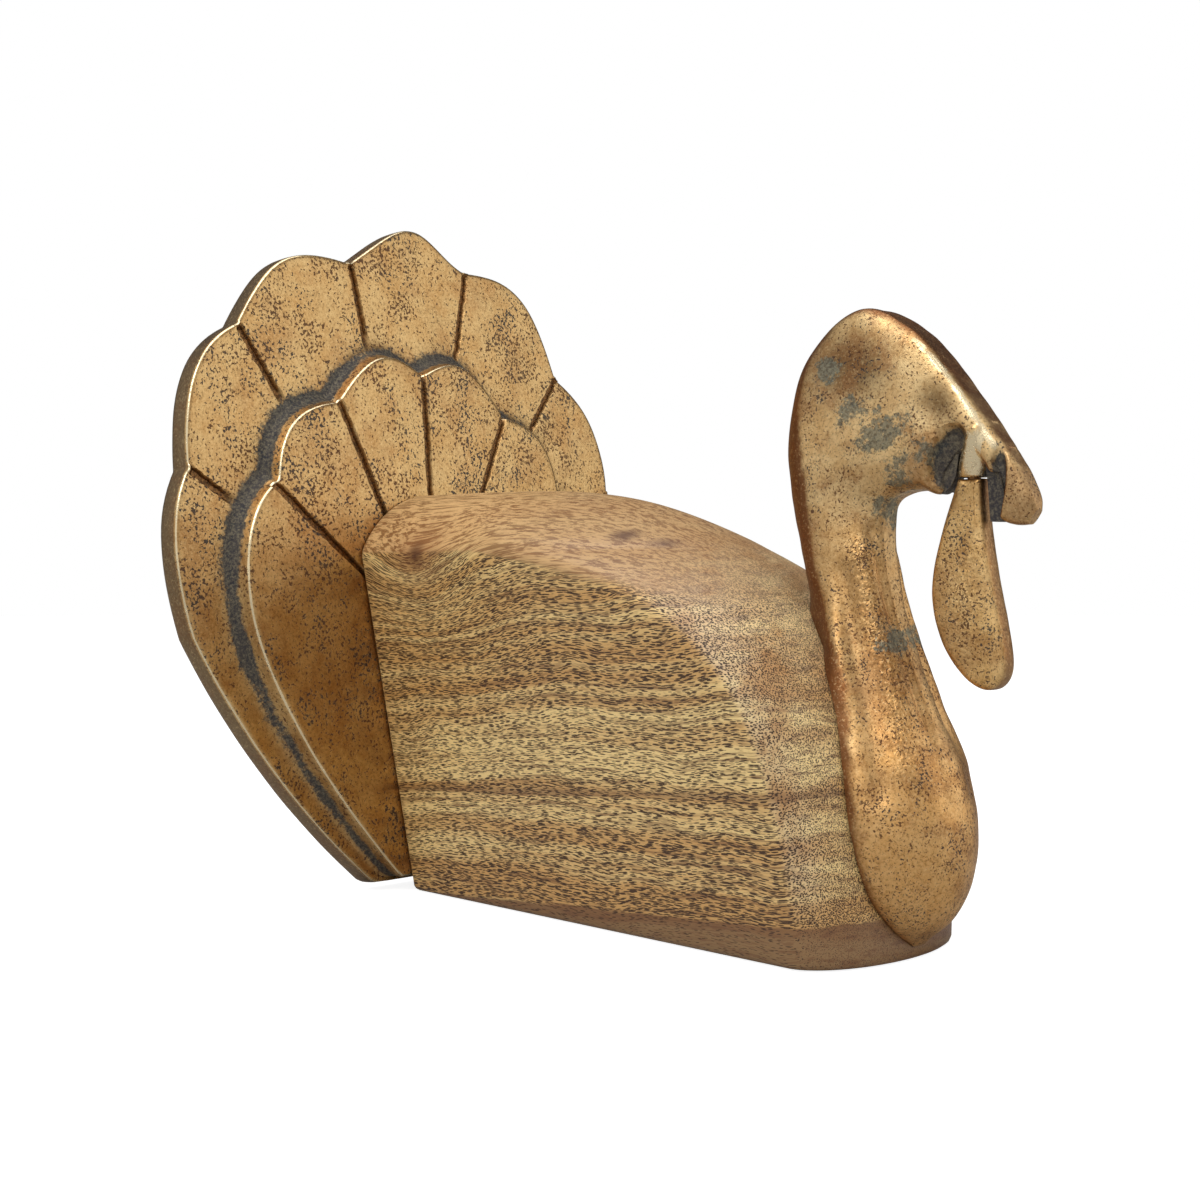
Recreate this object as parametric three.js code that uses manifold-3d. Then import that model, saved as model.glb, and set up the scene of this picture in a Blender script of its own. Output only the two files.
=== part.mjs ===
// Turkey figure: a shaped wood body, a cast tail fan fixed behind it, a cast head and neck in front.
// Millimetres. +X runs forward to the beak, +Y to the turkey's left, +Z up.
// Heights are taken from the wood's underside, lengths from the foot of the wood's back face.
import * as THREE from "three";
import { mergeVertices } from "three/addons/utils/BufferGeometryUtils.js";
import Module from "manifold-3d";

const wasm = await Module();
wasm.setup();

// Shared fits
const FIT_GAP = 0.3; // room left between pieces that touch
const TAIL_LEAN = THREE.MathUtils.degToRad(4.5); // the tail and the wood's back face lean back together

// Wood body
const BODY_LENGTH = 133;
const BODY_HEIGHT = 95.6;
const SHOULDER_HEIGHT = 81;
const SHOULDER_HALF_WIDTH = 24; // at the back face
const BASE_BACK_HALF_WIDTH = 12.8;
const BASE_FRONT_HALF_WIDTH = 25.8;
const NOSE_ROUND = 12; // depth of the nose's rounding in plan, at the base
const NOSE_ROUND_SHOULDER = 45; // and at the shoulder, where the whole front is rounded
const BASE_EDGE = 1.2; // eased edge round the underside

// Tail fan
const REAR_TIER = 6.5; // thickness of the rear feathers
const FRONT_TIER = 5.5; // thickness of the front feathers
const FAN_HEIGHT = 163.5;
const FAN_HALF_WIDTH = 73;
const FAN_FOOT_LIFT = 2.5; // the foot hangs clear of the ground
const FAN_FOCUS_HEIGHT = 58; // all feather grooves aim at this height
const REAR_GROOVE_ANGLES = [-59.3, -36.6, -11.4, 11.4, 36.6, 59.3]; // degrees from upright
const FRONT_GROOVE_ANGLES = [-51, -24.8, 0, 24.8, 51];
const GROOVE_WIDTH = 1.7;
const GROOVE_DEPTH = 1.1;
const FAN_EDGE = 0.6; // broken edge round each tier

// Tail screws
const SCREW_LENGTH = 34;
const SCREW_RADIUS = 2;
const SCREW_HEAD_RADIUS = 4;
const SCREW_HEAD_DEPTH = 2.4;
const SCREW_PLACES = [[-11, 66], [11, 66], [0, 22]]; // across, up
const DRIVE_SLOT = [0.9, 4.4, 1.1]; // width, length, depth of each arm of the cross

// Head and neck
const BEAK_REACH = 26; // how far the beak stands ahead of the wood
const HEAD_HEIGHT = 128.3;
const LUG_RADIUS = 2.9;
const LUG_CENTRE = 12.4; // ahead of the wood's nose
const LUG_BOTTOM = 94;
const LUG_TOP = 101;

// Neck studs
const STUD_RADIUS = 2.5;
const STUD_IN_WOOD = 24;
const STUD_IN_NECK = 5.5;
const STUD_HEIGHTS = [20, 44];

// Wattle
const WATTLE_THICKNESS = 5.2;
const WATTLE_DROP = 40.3;
const WATTLE_EDGE = 0.9;
const PEG_RADIUS = 1.3;
const PEG_LENGTH = 4.5;

const ROUND_SEGMENTS = 24;

// A solid from a three.js geometry, whatever attributes the geometry has.
function solidOf(geometry) {
  const bare = new THREE.BufferGeometry();
  bare.setAttribute("position", geometry.getAttribute("position").clone());
  if (geometry.index) bare.setIndex(geometry.index.clone());
  const merged = mergeVertices(bare, 1e-3);
  return new wasm.Manifold(
    new wasm.Mesh({
      numProp: 3,
      vertProperties: merged.getAttribute("position").array,
      triVerts: new Uint32Array(merged.index.array),
    }),
  );
}

// A three.js geometry from a solid.
function geometryOf(solid) {
  const mesh = solid.getMesh();
  const points = new Float32Array(mesh.numVert * 3);
  for (let i = 0; i < mesh.numVert; i++) {
    points.set(mesh.vertProperties.subarray(i * mesh.numProp, i * mesh.numProp + 3), i * 3);
  }
  const geometry = new THREE.BufferGeometry();
  geometry.setAttribute("position", new THREE.BufferAttribute(points, 3));
  geometry.setIndex(new THREE.BufferAttribute(new Uint32Array(mesh.triVerts), 1));
  geometry.computeVertexNormals();
  return geometry;
}

// A closed skin over rings of equal length, each ring a list of points, capped at both ends.
function skin(rings) {
  const count = rings[0].length;
  const points = rings.flat();
  const faces = [];
  for (let i = 0; i + 1 < rings.length; i++) {
    for (let j = 0; j < count; j++) {
      const a = i * count + j;
      const b = i * count + ((j + 1) % count);
      faces.push(a, b, b + count, a, b + count, a + count);
    }
  }
  [rings[0], rings[rings.length - 1]].forEach((ring, end) => {
    const middle = new THREE.Vector3();
    ring.forEach((p) => middle.add(p));
    points.push(middle.divideScalar(count));
    const first = end === 0 ? 0 : (rings.length - 1) * count;
    for (let j = 0; j < count; j++) {
      const a = first + j;
      const b = first + ((j + 1) % count);
      faces.push(points.length - 1, ...(end === 0 ? [b, a] : [a, b]));
    }
  });
  return new THREE.BufferGeometry().setFromPoints(points).setIndex(faces);
}

// A round bar along X from one end to the other.
function barX(radius, from, to, y, z) {
  const bar = new THREE.CylinderGeometry(radius, radius, to - from, ROUND_SEGMENTS);
  return bar.rotateZ(-Math.PI / 2).translate((from + to) / 2, y, z);
}

// Profile of the wood along its middle, from the foot of the nose up and back over the top.
const noseLine = new THREE.SplineCurve([
  new THREE.Vector2(BODY_LENGTH, 0),
  new THREE.Vector2(BODY_LENGTH - 1.6, BODY_HEIGHT - 71.6),
  new THREE.Vector2(BODY_LENGTH - 7.4, BODY_HEIGHT - 48.6),
  new THREE.Vector2(BODY_LENGTH - 16.6, BODY_HEIGHT - 33.6),
  new THREE.Vector2(BODY_LENGTH - 27, BODY_HEIGHT - 23.4),
  new THREE.Vector2(BODY_LENGTH - 43, BODY_HEIGHT - 13.6),
  new THREE.Vector2(BODY_LENGTH - 66, BODY_HEIGHT - 4.8),
  new THREE.Vector2(BODY_LENGTH - 88, BODY_HEIGHT - 1),
  new THREE.Vector2(BODY_LENGTH - 115, BODY_HEIGHT),
]).getPoints(240);

// Where the middle of the nose stands at a height.
function noseAt(height) {
  const above = noseLine.findIndex((p) => p.y >= height);
  if (above <= 0) return noseLine[above === 0 ? 0 : noseLine.length - 1].x;
  const [low, high] = [noseLine[above - 1], noseLine[above]];
  return THREE.MathUtils.mapLinear(height, low.y, high.y, low.x, high.x);
}

// The wood's back face at a height, just clear of the tail.
function backAt(height) {
  return FIT_GAP / Math.cos(TAIL_LEAN) - height * Math.tan(TAIL_LEAN);
}

// Half width of the flat flank at a place; above the shoulder it closes along a round arch.
const FLANK_SPREAD = (BASE_FRONT_HALF_WIDTH - BASE_BACK_HALF_WIDTH) / (BODY_LENGTH - NOSE_ROUND);
function halfWidthAt(x, height) {
  const low = Math.min(height, SHOULDER_HEIGHT);
  const rise = (SHOULDER_HALF_WIDTH - BASE_BACK_HALF_WIDTH) * (low / SHOULDER_HEIGHT);
  const flank = BASE_BACK_HALF_WIDTH + rise + FLANK_SPREAD * (x - backAt(low));
  if (height <= SHOULDER_HEIGHT) return flank;
  const crown = BODY_HEIGHT - SHOULDER_HEIGHT;
  const radius = (SHOULDER_HALF_WIDTH ** 2 + crown ** 2) / (2 * crown);
  const climb = height - (BODY_HEIGHT - radius);
  return (flank * Math.sqrt(Math.max(radius ** 2 - climb ** 2, 0.01))) / SHOULDER_HALF_WIDTH;
}

// Level outline of the wood at a height, drawn in by an inset and grown by a clearance.
function bodyRing(height, inset, clearance) {
  const nose = noseAt(height) - inset + clearance;
  const back = backAt(height) + inset - clearance;
  const share = Math.min(height / SHOULDER_HEIGHT, 1) ** 8;
  const wanted = THREE.MathUtils.lerp(NOSE_ROUND, NOSE_ROUND_SHOULDER, share);
  const round = Math.min(wanted, 0.85 * (nose - back));
  const corner = nose - round;
  const half = (x) => Math.max(halfWidthAt(x, height) - inset, 0.1) + clearance;
  const side = [];
  for (let i = 0; i < 6; i++) {
    const x = THREE.MathUtils.lerp(back, corner, i / 6);
    side.push([x, half(x)]);
  }
  for (let i = 0; i <= 10; i++) {
    const turn = (Math.PI / 2) * (i / 10);
    side.push([corner + round * Math.sin(turn), half(corner) * Math.cos(turn)]);
  }
  const far = side.map(([x, y]) => new THREE.Vector3(x, y, height));
  const near = side.slice(0, -1).map(([x, y]) => new THREE.Vector3(x, -y, height));
  return [...near, ...far.reverse()];
}

// The wood as a solid skin, grown by a clearance where a neighbour is cut to sit on it.
function bodySolid(clearance) {
  const rings = [bodyRing(0, BASE_EDGE, clearance), bodyRing(BASE_EDGE, 0, clearance)];
  [0.2, 0.38, 0.54, 0.68, 0.8, 0.89, 0.95, 1].forEach((share) => {
    rings.push(bodyRing(SHOULDER_HEIGHT * share, 0, clearance));
  });
  const crown = BODY_HEIGHT - SHOULDER_HEIGHT;
  [0.17, 0.34, 0.5, 0.64, 0.77, 0.87, 0.94, 0.98, 1].forEach((share) => {
    rings.push(bodyRing(SHOULDER_HEIGHT + crown * share, 0, clearance));
  });
  if (clearance > 0) {
    rings[0].forEach((p) => (p.z -= clearance));
    rings[rings.length - 1].forEach((p) => (p.z += clearance));
  }
  return solidOf(skin(rings));
}

// Half outline of a tier, from its top middle round its left side to its foot, as cubic pieces.
function tierShape(start, pieces) {
  const shape = new THREE.Shape();
  shape.moveTo(...start);
  pieces.forEach(([a, b, end]) => shape.bezierCurveTo(...a, ...b, ...end));
  const from = pieces[pieces.length - 1][2];
  shape.lineTo(-from[0], from[1]);
  for (let i = pieces.length - 1; i >= 0; i--) {
    const [a, b] = pieces[i];
    const end = i > 0 ? pieces[i - 1][2] : start;
    shape.bezierCurveTo(-b[0], b[1], -a[0], a[1], -end[0], end[1]);
  }
  return shape;
}

const W = FAN_HALF_WIDTH;
const H = FAN_HEIGHT;
const rearShape = tierShape([0, H], [
  [[W - 64, H], [W - 61, H - 8.2], [W - 53.6, H - 10.1]],
  [[W - 35, H - 9.5], [W - 26.4, H - 10], [W - 19.6, H - 32.7]],
  [[W - 7.5, H - 36.6], [W - 3, H - 47], [W - 4.1, H - 63.8]],
  [[W + 1.6, H - 76], [W + 1.6, H - 88], [W - 5, H - 101.5]],
  [[W - 17, H - 125], [W - 34, H - 145], [W - 53, FAN_FOOT_LIFT]],
]);
const frontShape = tierShape([0, H - 37.6], [
  [[W - 62, H - 31.5], [W - 57, H - 32], [W - 45.4, H - 46.2]],
  [[W - 33, H - 48], [W - 28, H - 53], [W - 26.4, H - 65.5]],
  [[W - 15, H - 73], [W - 13, H - 93], [W - 22, H - 111]],
  [[W - 31, H - 130], [W - 44, H - 146], [W - 58, FAN_FOOT_LIFT]],
]);

// One tier as a plate across X, its front face at a given place.
function tierSolid(shape, thickness, front) {
  const plate = new THREE.ExtrudeGeometry(shape, {
    depth: thickness - 2 * FAN_EDGE,
    bevelThickness: FAN_EDGE,
    bevelSize: FAN_EDGE,
    bevelOffset: -FAN_EDGE,
    bevelSegments: 1,
    curveSegments: 9,
  });
  const turn = new THREE.Matrix4().makeBasis(
    new THREE.Vector3(0, 1, 0),
    new THREE.Vector3(0, 0, 1),
    new THREE.Vector3(1, 0, 0),
  );
  return solidOf(plate.applyMatrix4(turn).translate(front - thickness + FAN_EDGE, 0, 0));
}

// A V groove in a face, running out from the focus at an angle.
function grooveSolid(angle, from, to, face) {
  const wedge = new THREE.Shape();
  wedge.moveTo(-GROOVE_DEPTH, 0);
  wedge.lineTo(GROOVE_DEPTH, -GROOVE_WIDTH);
  wedge.lineTo(GROOVE_DEPTH, GROOVE_WIDTH);
  const groove = new THREE.ExtrudeGeometry(wedge, { depth: to - from, bevelEnabled: false });
  groove.translate(face, 0, from).rotateX(-THREE.MathUtils.degToRad(angle));
  return solidOf(groove.translate(0, 0, FAN_FOCUS_HEIGHT));
}

// A countersunk screw along +X, its head's flat at zero, grown by a clearance for its hole.
function screwSolid(clearance, sink) {
  const tip = SCREW_LENGTH + clearance;
  const profile = [
    new THREE.Vector2(0, -sink),
    new THREE.Vector2(SCREW_HEAD_RADIUS + clearance, -sink),
    new THREE.Vector2(SCREW_HEAD_RADIUS + clearance, 0.4),
    new THREE.Vector2(SCREW_RADIUS + clearance, SCREW_HEAD_DEPTH + 0.4),
    new THREE.Vector2(SCREW_RADIUS + clearance, tip - 2 * SCREW_RADIUS),
    new THREE.Vector2(0, tip),
  ];
  return solidOf(new THREE.LatheGeometry(profile, ROUND_SEGMENTS).rotateZ(-Math.PI / 2));
}

// Set a solid's geometry from the tail's own upright place to its leaning place.
function leaned(solid) {
  return geometryOf(solid).rotateY(-TAIL_LEAN);
}

// Sections of the head and neck, listed from the breast's tip to the beak's tip.
// Each has its back or top point, its front or under point, and its half width across.
const X0 = BODY_LENGTH;
const Z0 = HEAD_HEIGHT;
const BEAK = BODY_LENGTH + BEAK_REACH;
const neckSections = [
  [[X0 - 0.6, 2.2], [X0 + 1.4, 3.4], 1.8],
  [[X0 - 8, 7], [X0 + 5, 8], 8.6],
  [[X0 - 15, 15], [X0 + 8, 15], 13.8],
  [[X0 - 19, 26], [X0 + 9, 26], 17],
  [[X0 - 23, 38], [X0 + 7, 38], 17],
  [[X0 - 28, 50], [X0 + 3, 49], 15.6],
  [[X0 - 29, 61], [X0 - 1, 60], 12.2],
  [[X0 - 23.6, Z0 - 58], [X0 - 4.3, Z0 - 58.8], 9.5],
  [[X0 - 26.4, Z0 - 47], [X0 - 6.3, Z0 - 48.3], 8.2],
  [[X0 - 28.4, Z0 - 36], [X0 - 6.3, Z0 - 41.3], 7.5],
  [[X0 - 29, Z0 - 24], [X0 - 5.4, Z0 - 38.5], 7.5],
  [[X0 - 24.4, Z0 - 7.5], [X0 - 2, Z0 - 36.7], 7.5],
  [[X0 - 13, Z0], [X0 + 2, Z0 - 36.3], 7],
  [[BEAK - 26, Z0 - 4], [X0 + 6.6, Z0 - 37.2], 6.2],
  [[BEAK - 16.7, Z0 - 12.4], [X0 + 13.3, Z0 - 30.3], 5.2],
  [[BEAK - 8.2, Z0 - 24], [X0 + 17.8, Z0 - 34.8], 4.1],
  [[BEAK - 2.2, Z0 - 33.3], [X0 + 18.8, Z0 - 42.2], 3.4],
  [[BEAK - 0.4, Z0 - 39.7], [BEAK - 2.8, Z0 - 43.4], 2.4],
];

// The head and neck before it is cut to the wood.
function neckSolid() {
  const outer = new THREE.CatmullRomCurve3(
    neckSections.map(([o, , w]) => new THREE.Vector3(o[0], w, o[1])),
  );
  const inner = new THREE.CatmullRomCurve3(
    neckSections.map(([, i]) => new THREE.Vector3(i[0], 0, i[1])),
  );
  const steps = 3 * (neckSections.length - 1);
  const around = 20;
  const rings = [];
  for (let k = 0; k <= steps; k++) {
    const o = outer.getPoint(k / steps);
    const i = inner.getPoint(k / steps);
    const ring = [];
    for (let j = 0; j < around; j++) {
      const turn = (2 * Math.PI * j) / around;
      const across = Math.sign(Math.cos(turn)) * Math.abs(Math.cos(turn)) ** 0.85;
      const wide = Math.sign(Math.sin(turn)) * Math.abs(Math.sin(turn)) ** 0.85;
      const t = (1 - across) / 2;
      ring.push(new THREE.Vector3(
        THREE.MathUtils.lerp(o.x, i.x, t),
        -o.y * wide,
        THREE.MathUtils.lerp(o.z, i.z, t),
      ));
    }
    rings.push(ring);
  }
  return solidOf(skin(rings));
}

// The short lug that carries the wattle, and the peg hole in it.
const LUG_X = BODY_LENGTH + LUG_CENTRE;
function uprightBar(radius, from, to) {
  const bar = new THREE.CylinderGeometry(radius, radius, to - from, ROUND_SEGMENTS);
  return solidOf(bar.rotateX(Math.PI / 2).translate(LUG_X, 0, (from + to) / 2));
}

// The drop, a teardrop plate in the figure's middle plane with a peg on top.
const WATTLE_TOP = LUG_BOTTOM - FIT_GAP;
function wattleSolid() {
  const foot = WATTLE_TOP - WATTLE_DROP;
  const drop = new THREE.Shape();
  drop.moveTo(LUG_X - 2.6, WATTLE_TOP);
  drop.bezierCurveTo(LUG_X - 5, foot + 33, LUG_X - 9, foot + 24, LUG_X - 8.2, foot + 16.6);
  drop.bezierCurveTo(LUG_X - 7.6, foot + 8.6, LUG_X - 1.4, foot + 0.2, LUG_X + 3.6, foot);
  drop.bezierCurveTo(LUG_X + 7, foot, LUG_X + 8.2, foot + 3.6, LUG_X + 7.4, foot + 8.2);
  drop.bezierCurveTo(LUG_X + 6.2, foot + 16.6, LUG_X + 2.6, foot + 26.6, LUG_X + 2.6, WATTLE_TOP);
  const plate = new THREE.ExtrudeGeometry(drop, {
    depth: WATTLE_THICKNESS - 2 * WATTLE_EDGE,
    bevelThickness: WATTLE_EDGE,
    bevelSize: WATTLE_EDGE,
    bevelOffset: -WATTLE_EDGE,
    bevelSegments: 2,
    curveSegments: 10,
  });
  plate.rotateX(Math.PI / 2).translate(0, WATTLE_THICKNESS / 2 - WATTLE_EDGE, 0);
  const peg = uprightBar(PEG_RADIUS, WATTLE_TOP - 3, WATTLE_TOP + PEG_LENGTH);
  return solidOf(plate).add(peg);
}

// Studs run level from inside the wood's nose into the breast.
function studSolid(height, clearance) {
  const seat = noseAt(height);
  const bar = barX(
    STUD_RADIUS + clearance,
    seat - STUD_IN_WOOD - clearance,
    seat + STUD_IN_NECK + clearance,
    0,
    height,
  );
  return solidOf(bar);
}

const finishes = {
  wood: { color: 0xa87f4e, roughness: 0.5, metalness: 0 },
  tail: { color: 0xb08d57, roughness: 0.42, metalness: 1 },
  head: { color: 0xa98350, roughness: 0.36, metalness: 1 },
  wattle: { color: 0xa37a45, roughness: 0.4, metalness: 1 },
  steel: { color: 0x8a8c8e, roughness: 0.35, metalness: 1 },
};

const figure = new THREE.Group();
figure.name = "turkey_figure";
function addPiece(name, geometry, finish) {
  const mesh = new THREE.Mesh(geometry, new THREE.MeshStandardMaterial(finishes[finish]));
  mesh.name = name;
  figure.add(mesh);
}

// Tail: rear tier with its grooves, then the front tier with its own, then the screw holes.
let rear = tierSolid(rearShape, REAR_TIER, -FRONT_TIER);
REAR_GROOVE_ANGLES.forEach((angle) => {
  rear = rear.subtract(grooveSolid(angle, 45, H, -FRONT_TIER));
});
let front = tierSolid(frontShape, FRONT_TIER + FAN_EDGE, 0);
FRONT_GROOVE_ANGLES.forEach((angle) => {
  front = front.subtract(grooveSolid(angle, 25, H, 0));
});
let tail = rear.add(front);
const TAIL_BACK = -(REAR_TIER + FRONT_TIER);
const screwHole = screwSolid(FIT_GAP, 2);
SCREW_PLACES.forEach(([across, up]) => {
  tail = tail.subtract(screwHole.translate([TAIL_BACK, across, up]));
});
addPiece("tail_fan", leaned(tail), "tail");

// Screws, each with a cross recess in its head.
const [slotWidth, slotLength, slotDepth] = DRIVE_SLOT;
const slotUp = solidOf(new THREE.BoxGeometry(2 * slotDepth, slotWidth, slotLength));
const slotAcross = solidOf(new THREE.BoxGeometry(2 * slotDepth, slotLength, slotWidth));
const screw = screwSolid(0, 0).subtract(slotUp).subtract(slotAcross);
SCREW_PLACES.forEach(([across, up], i) => {
  addPiece(`tail_screw_${i + 1}`, leaned(screw.translate([TAIL_BACK + FIT_GAP, across, up])), "steel");
});

// Wood, with the screws' and studs' holes.
let wood = bodySolid(0);
SCREW_PLACES.forEach(([across, up]) => {
  const hole = screwHole.translate([TAIL_BACK + FIT_GAP, across, up]);
  wood = wood.subtract(solidOf(leaned(hole)));
});
STUD_HEIGHTS.forEach((height) => {
  wood = wood.subtract(studSolid(height, FIT_GAP));
});
addPiece("wood_body", geometryOf(wood), "wood");

// Head and neck, cut to the wood, with the lug, its peg hole and the studs' holes.
let neck = neckSolid().add(uprightBar(LUG_RADIUS, LUG_BOTTOM, LUG_TOP));
neck = neck.subtract(bodySolid(FIT_GAP));
neck = neck.subtract(uprightBar(PEG_RADIUS + FIT_GAP, LUG_BOTTOM - 1, WATTLE_TOP + PEG_LENGTH + FIT_GAP));
STUD_HEIGHTS.forEach((height) => {
  neck = neck.subtract(studSolid(height, FIT_GAP));
});
addPiece("head_and_neck", geometryOf(neck), "head");
STUD_HEIGHTS.forEach((height, i) => {
  addPiece(`neck_stud_${i + 1}`, geometryOf(studSolid(height, 0)), "steel");
});
addPiece("wattle", geometryOf(wattleSolid()), "wattle");

// The origin is under the middle of the whole figure, on the ground.
const extent = new THREE.Box3().setFromObject(figure);
const middle = extent.getCenter(new THREE.Vector3());
figure.children.forEach((mesh) => mesh.geometry.translate(-middle.x, -middle.y, -extent.min.z));

export default figure;
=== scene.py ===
"""Dresses the turkey figure: shaped wood body, cast tail fan, cast head and neck, hanging wattle.

Shapes are worked out in millimetres from the foot of the wood's back face.
They are then set in the part's frame, in metres.
"""
import logging
import math
from dataclasses import dataclass
from enum import Enum

import bmesh
import bpy
import numpy as np
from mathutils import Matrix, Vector


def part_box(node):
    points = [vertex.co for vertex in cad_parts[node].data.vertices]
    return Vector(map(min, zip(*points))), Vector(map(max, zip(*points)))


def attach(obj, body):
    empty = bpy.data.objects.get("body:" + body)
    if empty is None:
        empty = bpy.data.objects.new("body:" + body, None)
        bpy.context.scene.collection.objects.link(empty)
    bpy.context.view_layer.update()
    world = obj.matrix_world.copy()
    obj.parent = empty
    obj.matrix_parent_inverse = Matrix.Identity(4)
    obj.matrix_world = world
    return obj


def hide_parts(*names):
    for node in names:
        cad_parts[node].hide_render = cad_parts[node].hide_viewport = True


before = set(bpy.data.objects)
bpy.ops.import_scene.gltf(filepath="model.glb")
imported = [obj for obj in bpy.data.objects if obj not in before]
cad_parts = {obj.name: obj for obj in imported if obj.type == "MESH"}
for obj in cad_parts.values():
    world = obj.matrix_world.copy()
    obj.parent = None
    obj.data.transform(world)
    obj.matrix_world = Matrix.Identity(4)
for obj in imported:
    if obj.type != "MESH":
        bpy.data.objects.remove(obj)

LOG = logging.getLogger("turkey_figure")
MM = 0.001
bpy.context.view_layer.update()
BODY_LENGTH = 133.0
ORIGIN_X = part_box("wood_body")[1].x / MM - BODY_LENGTH
FIT_GAP = 0.3
TAIL_LEAN = math.radians(4.5)

Face = tuple[int, ...]
Pair = tuple[float, float]
Triple = tuple[float, float, float]
Colour = tuple[float, float, float, float]
Socket = bpy.types.NodeSocket


class Slot(Enum):
    """Material slots of the part's record."""

    WOOD = "wood"
    TAIL = "tail_brass"
    HEAD = "head_brass"
    WATTLE = "wattle_brass"
    STEEL = "fastener_steel"


class Join(Enum):
    """How a tool meets a piece."""

    ADD = "UNION"
    TAKE = "DIFFERENCE"


class Solver(Enum):
    """How a join is worked out."""

    EXACT = "EXACT"
    MANIFOLD = "MANIFOLD"


class Tier(Enum):
    """The fan's two rows of feathers."""

    REAR = "rear"
    FRONT = "front"


def srgb(red: int, green: int, blue: int) -> Colour:
    """Linear colour of an 8-bit display colour.

    Args:
        red: Red from 0 to 255.
        green: Green from 0 to 255.
        blue: Blue from 0 to 255.

    Returns:
        The colour, opaque.
    """
    shares = [c / 255 for c in (red, green, blue)]
    linear = [c / 12.92 if c <= 0.04045 else ((c + 0.055) / 1.055) ** 2.4 for c in shares]
    return (*linear, 1.0)


def smooth_step(low: float, high: float, value: np.ndarray) -> np.ndarray:
    """Eased rise from 0 at low to 1 at high."""
    t = np.clip((value - low) / (high - low), 0.0, 1.0)
    return t * t * (3 - 2 * t)


def bell(distance: np.ndarray, reach: float) -> np.ndarray:
    """Soft hump, 1 at no distance and faint beyond its reach."""
    return np.exp(-((distance / reach) ** 2))


def ripple(points: np.ndarray, wavelength: float, phase: float) -> np.ndarray:
    """Slow uneven swell over points, about -1 to 1, as hand work leaves.

    Args:
        points: Places, one to a row, in millimetres.
        wavelength: Length of the swell in millimetres.
        phase: Number that sets one swell apart from another.

    Returns:
        One height to a point.
    """
    x, y, z = (2 * math.pi * points / wavelength).T
    first = np.sin(0.9 * x + 1.3 * y + 0.7 * z + phase)
    second = np.sin(1.7 * y - 1.1 * z + 0.6 * x + 2.1 * phase)
    third = np.sin(2.3 * z + 0.8 * y - 1.9 * x + 3.7 * phase)
    return (first + 0.7 * second + 0.5 * third) / 2.2


def near_path(points: np.ndarray, path: list[Triple]) -> np.ndarray:
    """Distance of each point to a path of straight runs, both sides of the figure folded together.

    Args:
        points: Places, one to a row.
        path: Corners of the path, given with the distance from the middle plane as y.

    Returns:
        The shortest distances.
    """
    folded = points.copy()
    folded[:, 1] = np.abs(folded[:, 1])
    best = np.full(len(points), 1e9)
    corners = np.array(path)
    for start, end in zip(corners[:-1], corners[1:]):
        run = end - start
        share = np.clip((folded - start) @ run / (run @ run), 0.0, 1.0)
        gap = np.linalg.norm(folded - (start + share[:, None] * run), axis=1)
        best = np.minimum(best, gap)
    return best


def uniform_spline(points: list[Pair], count: int) -> np.ndarray:
    """Points along an even Catmull-Rom spline through the given points.

    Args:
        points: Knots of the spline.
        count: Number of points wanted.

    Returns:
        The points, one to a row.
    """
    knots = np.array(points)
    padded = np.vstack([knots[:1], knots, knots[-1:]])
    places = np.linspace(0, len(knots) - 1, count)
    index = np.minimum(places.astype(int), len(knots) - 2)
    t = (places - index)[:, None]
    a, b, c, d = (padded[index + k] for k in range(4))
    return 0.5 * (2 * b + (c - a) * t + (2 * a - 5 * b + 4 * c - d) * t**2 + (3 * b - a - 3 * c + d) * t**3)


def chord_spline(points: np.ndarray, count: int) -> np.ndarray:
    """Points along a centripetal Catmull-Rom spline, the same number in each run.

    Args:
        points: Knots, one to a row.
        count: Number of points wanted.

    Returns:
        The points, one to a row.
    """
    padded = np.vstack([2 * points[0] - points[1], points, 2 * points[-1] - points[-2]])
    places = np.linspace(0, len(points) - 1, count)
    index = np.minimum(places.astype(int), len(points) - 2)
    t = (places - index)[:, None]
    a, b, c, d = (padded[index + k] for k in range(4))
    runs = ((a, b), (b, c), (c, d))
    first, middle, last = (np.sqrt(np.linalg.norm(q - p, axis=1))[:, None] for p, q in runs)
    leave = ((b - a) / first - (c - a) / (first + middle) + (c - b) / middle) * middle
    arrive = ((c - b) / middle - (d - b) / (middle + last) + (d - c) / last) * middle
    square, cube = t**2, t**3
    return (
        (2 * cube - 3 * square + 1) * b
        + (cube - 2 * square + t) * leave
        + (3 * square - 2 * cube) * c
        + (cube - square) * arrive
    )


def even_steps(path: np.ndarray, count: int) -> np.ndarray:
    """The same path with its points spread evenly along its length.

    Args:
        path: Points, one to a row.
        count: Number of points wanted.

    Returns:
        The new points.
    """
    steps = np.linalg.norm(np.diff(path, axis=0), axis=1)
    along = np.concatenate([[0.0], np.cumsum(steps)])
    wanted = np.linspace(0, along[-1], count)
    return np.stack([np.interp(wanted, along, path[:, k]) for k in range(path.shape[1])], axis=1)


def cubic(start: Pair, pieces: list[list[Pair]], count: int) -> np.ndarray:
    """Points along joined cubic curves.

    Args:
        start: First point.
        pieces: Two control points and an end point for each curve.
        count: Points on each curve.

    Returns:
        The points, one to a row.
    """
    t = np.linspace(0, 1, count)[:, None]
    points = [np.array([start], float)]
    at = np.array(start, float)
    for piece in pieces:
        a, b, c = (np.array(p, float) for p in piece)
        curve = (1 - t) ** 3 * at + 3 * (1 - t) ** 2 * t * a + 3 * (1 - t) * t**2 * b + t**3 * c
        points.append(curve[1:])
        at = c
    return np.vstack(points)


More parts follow.
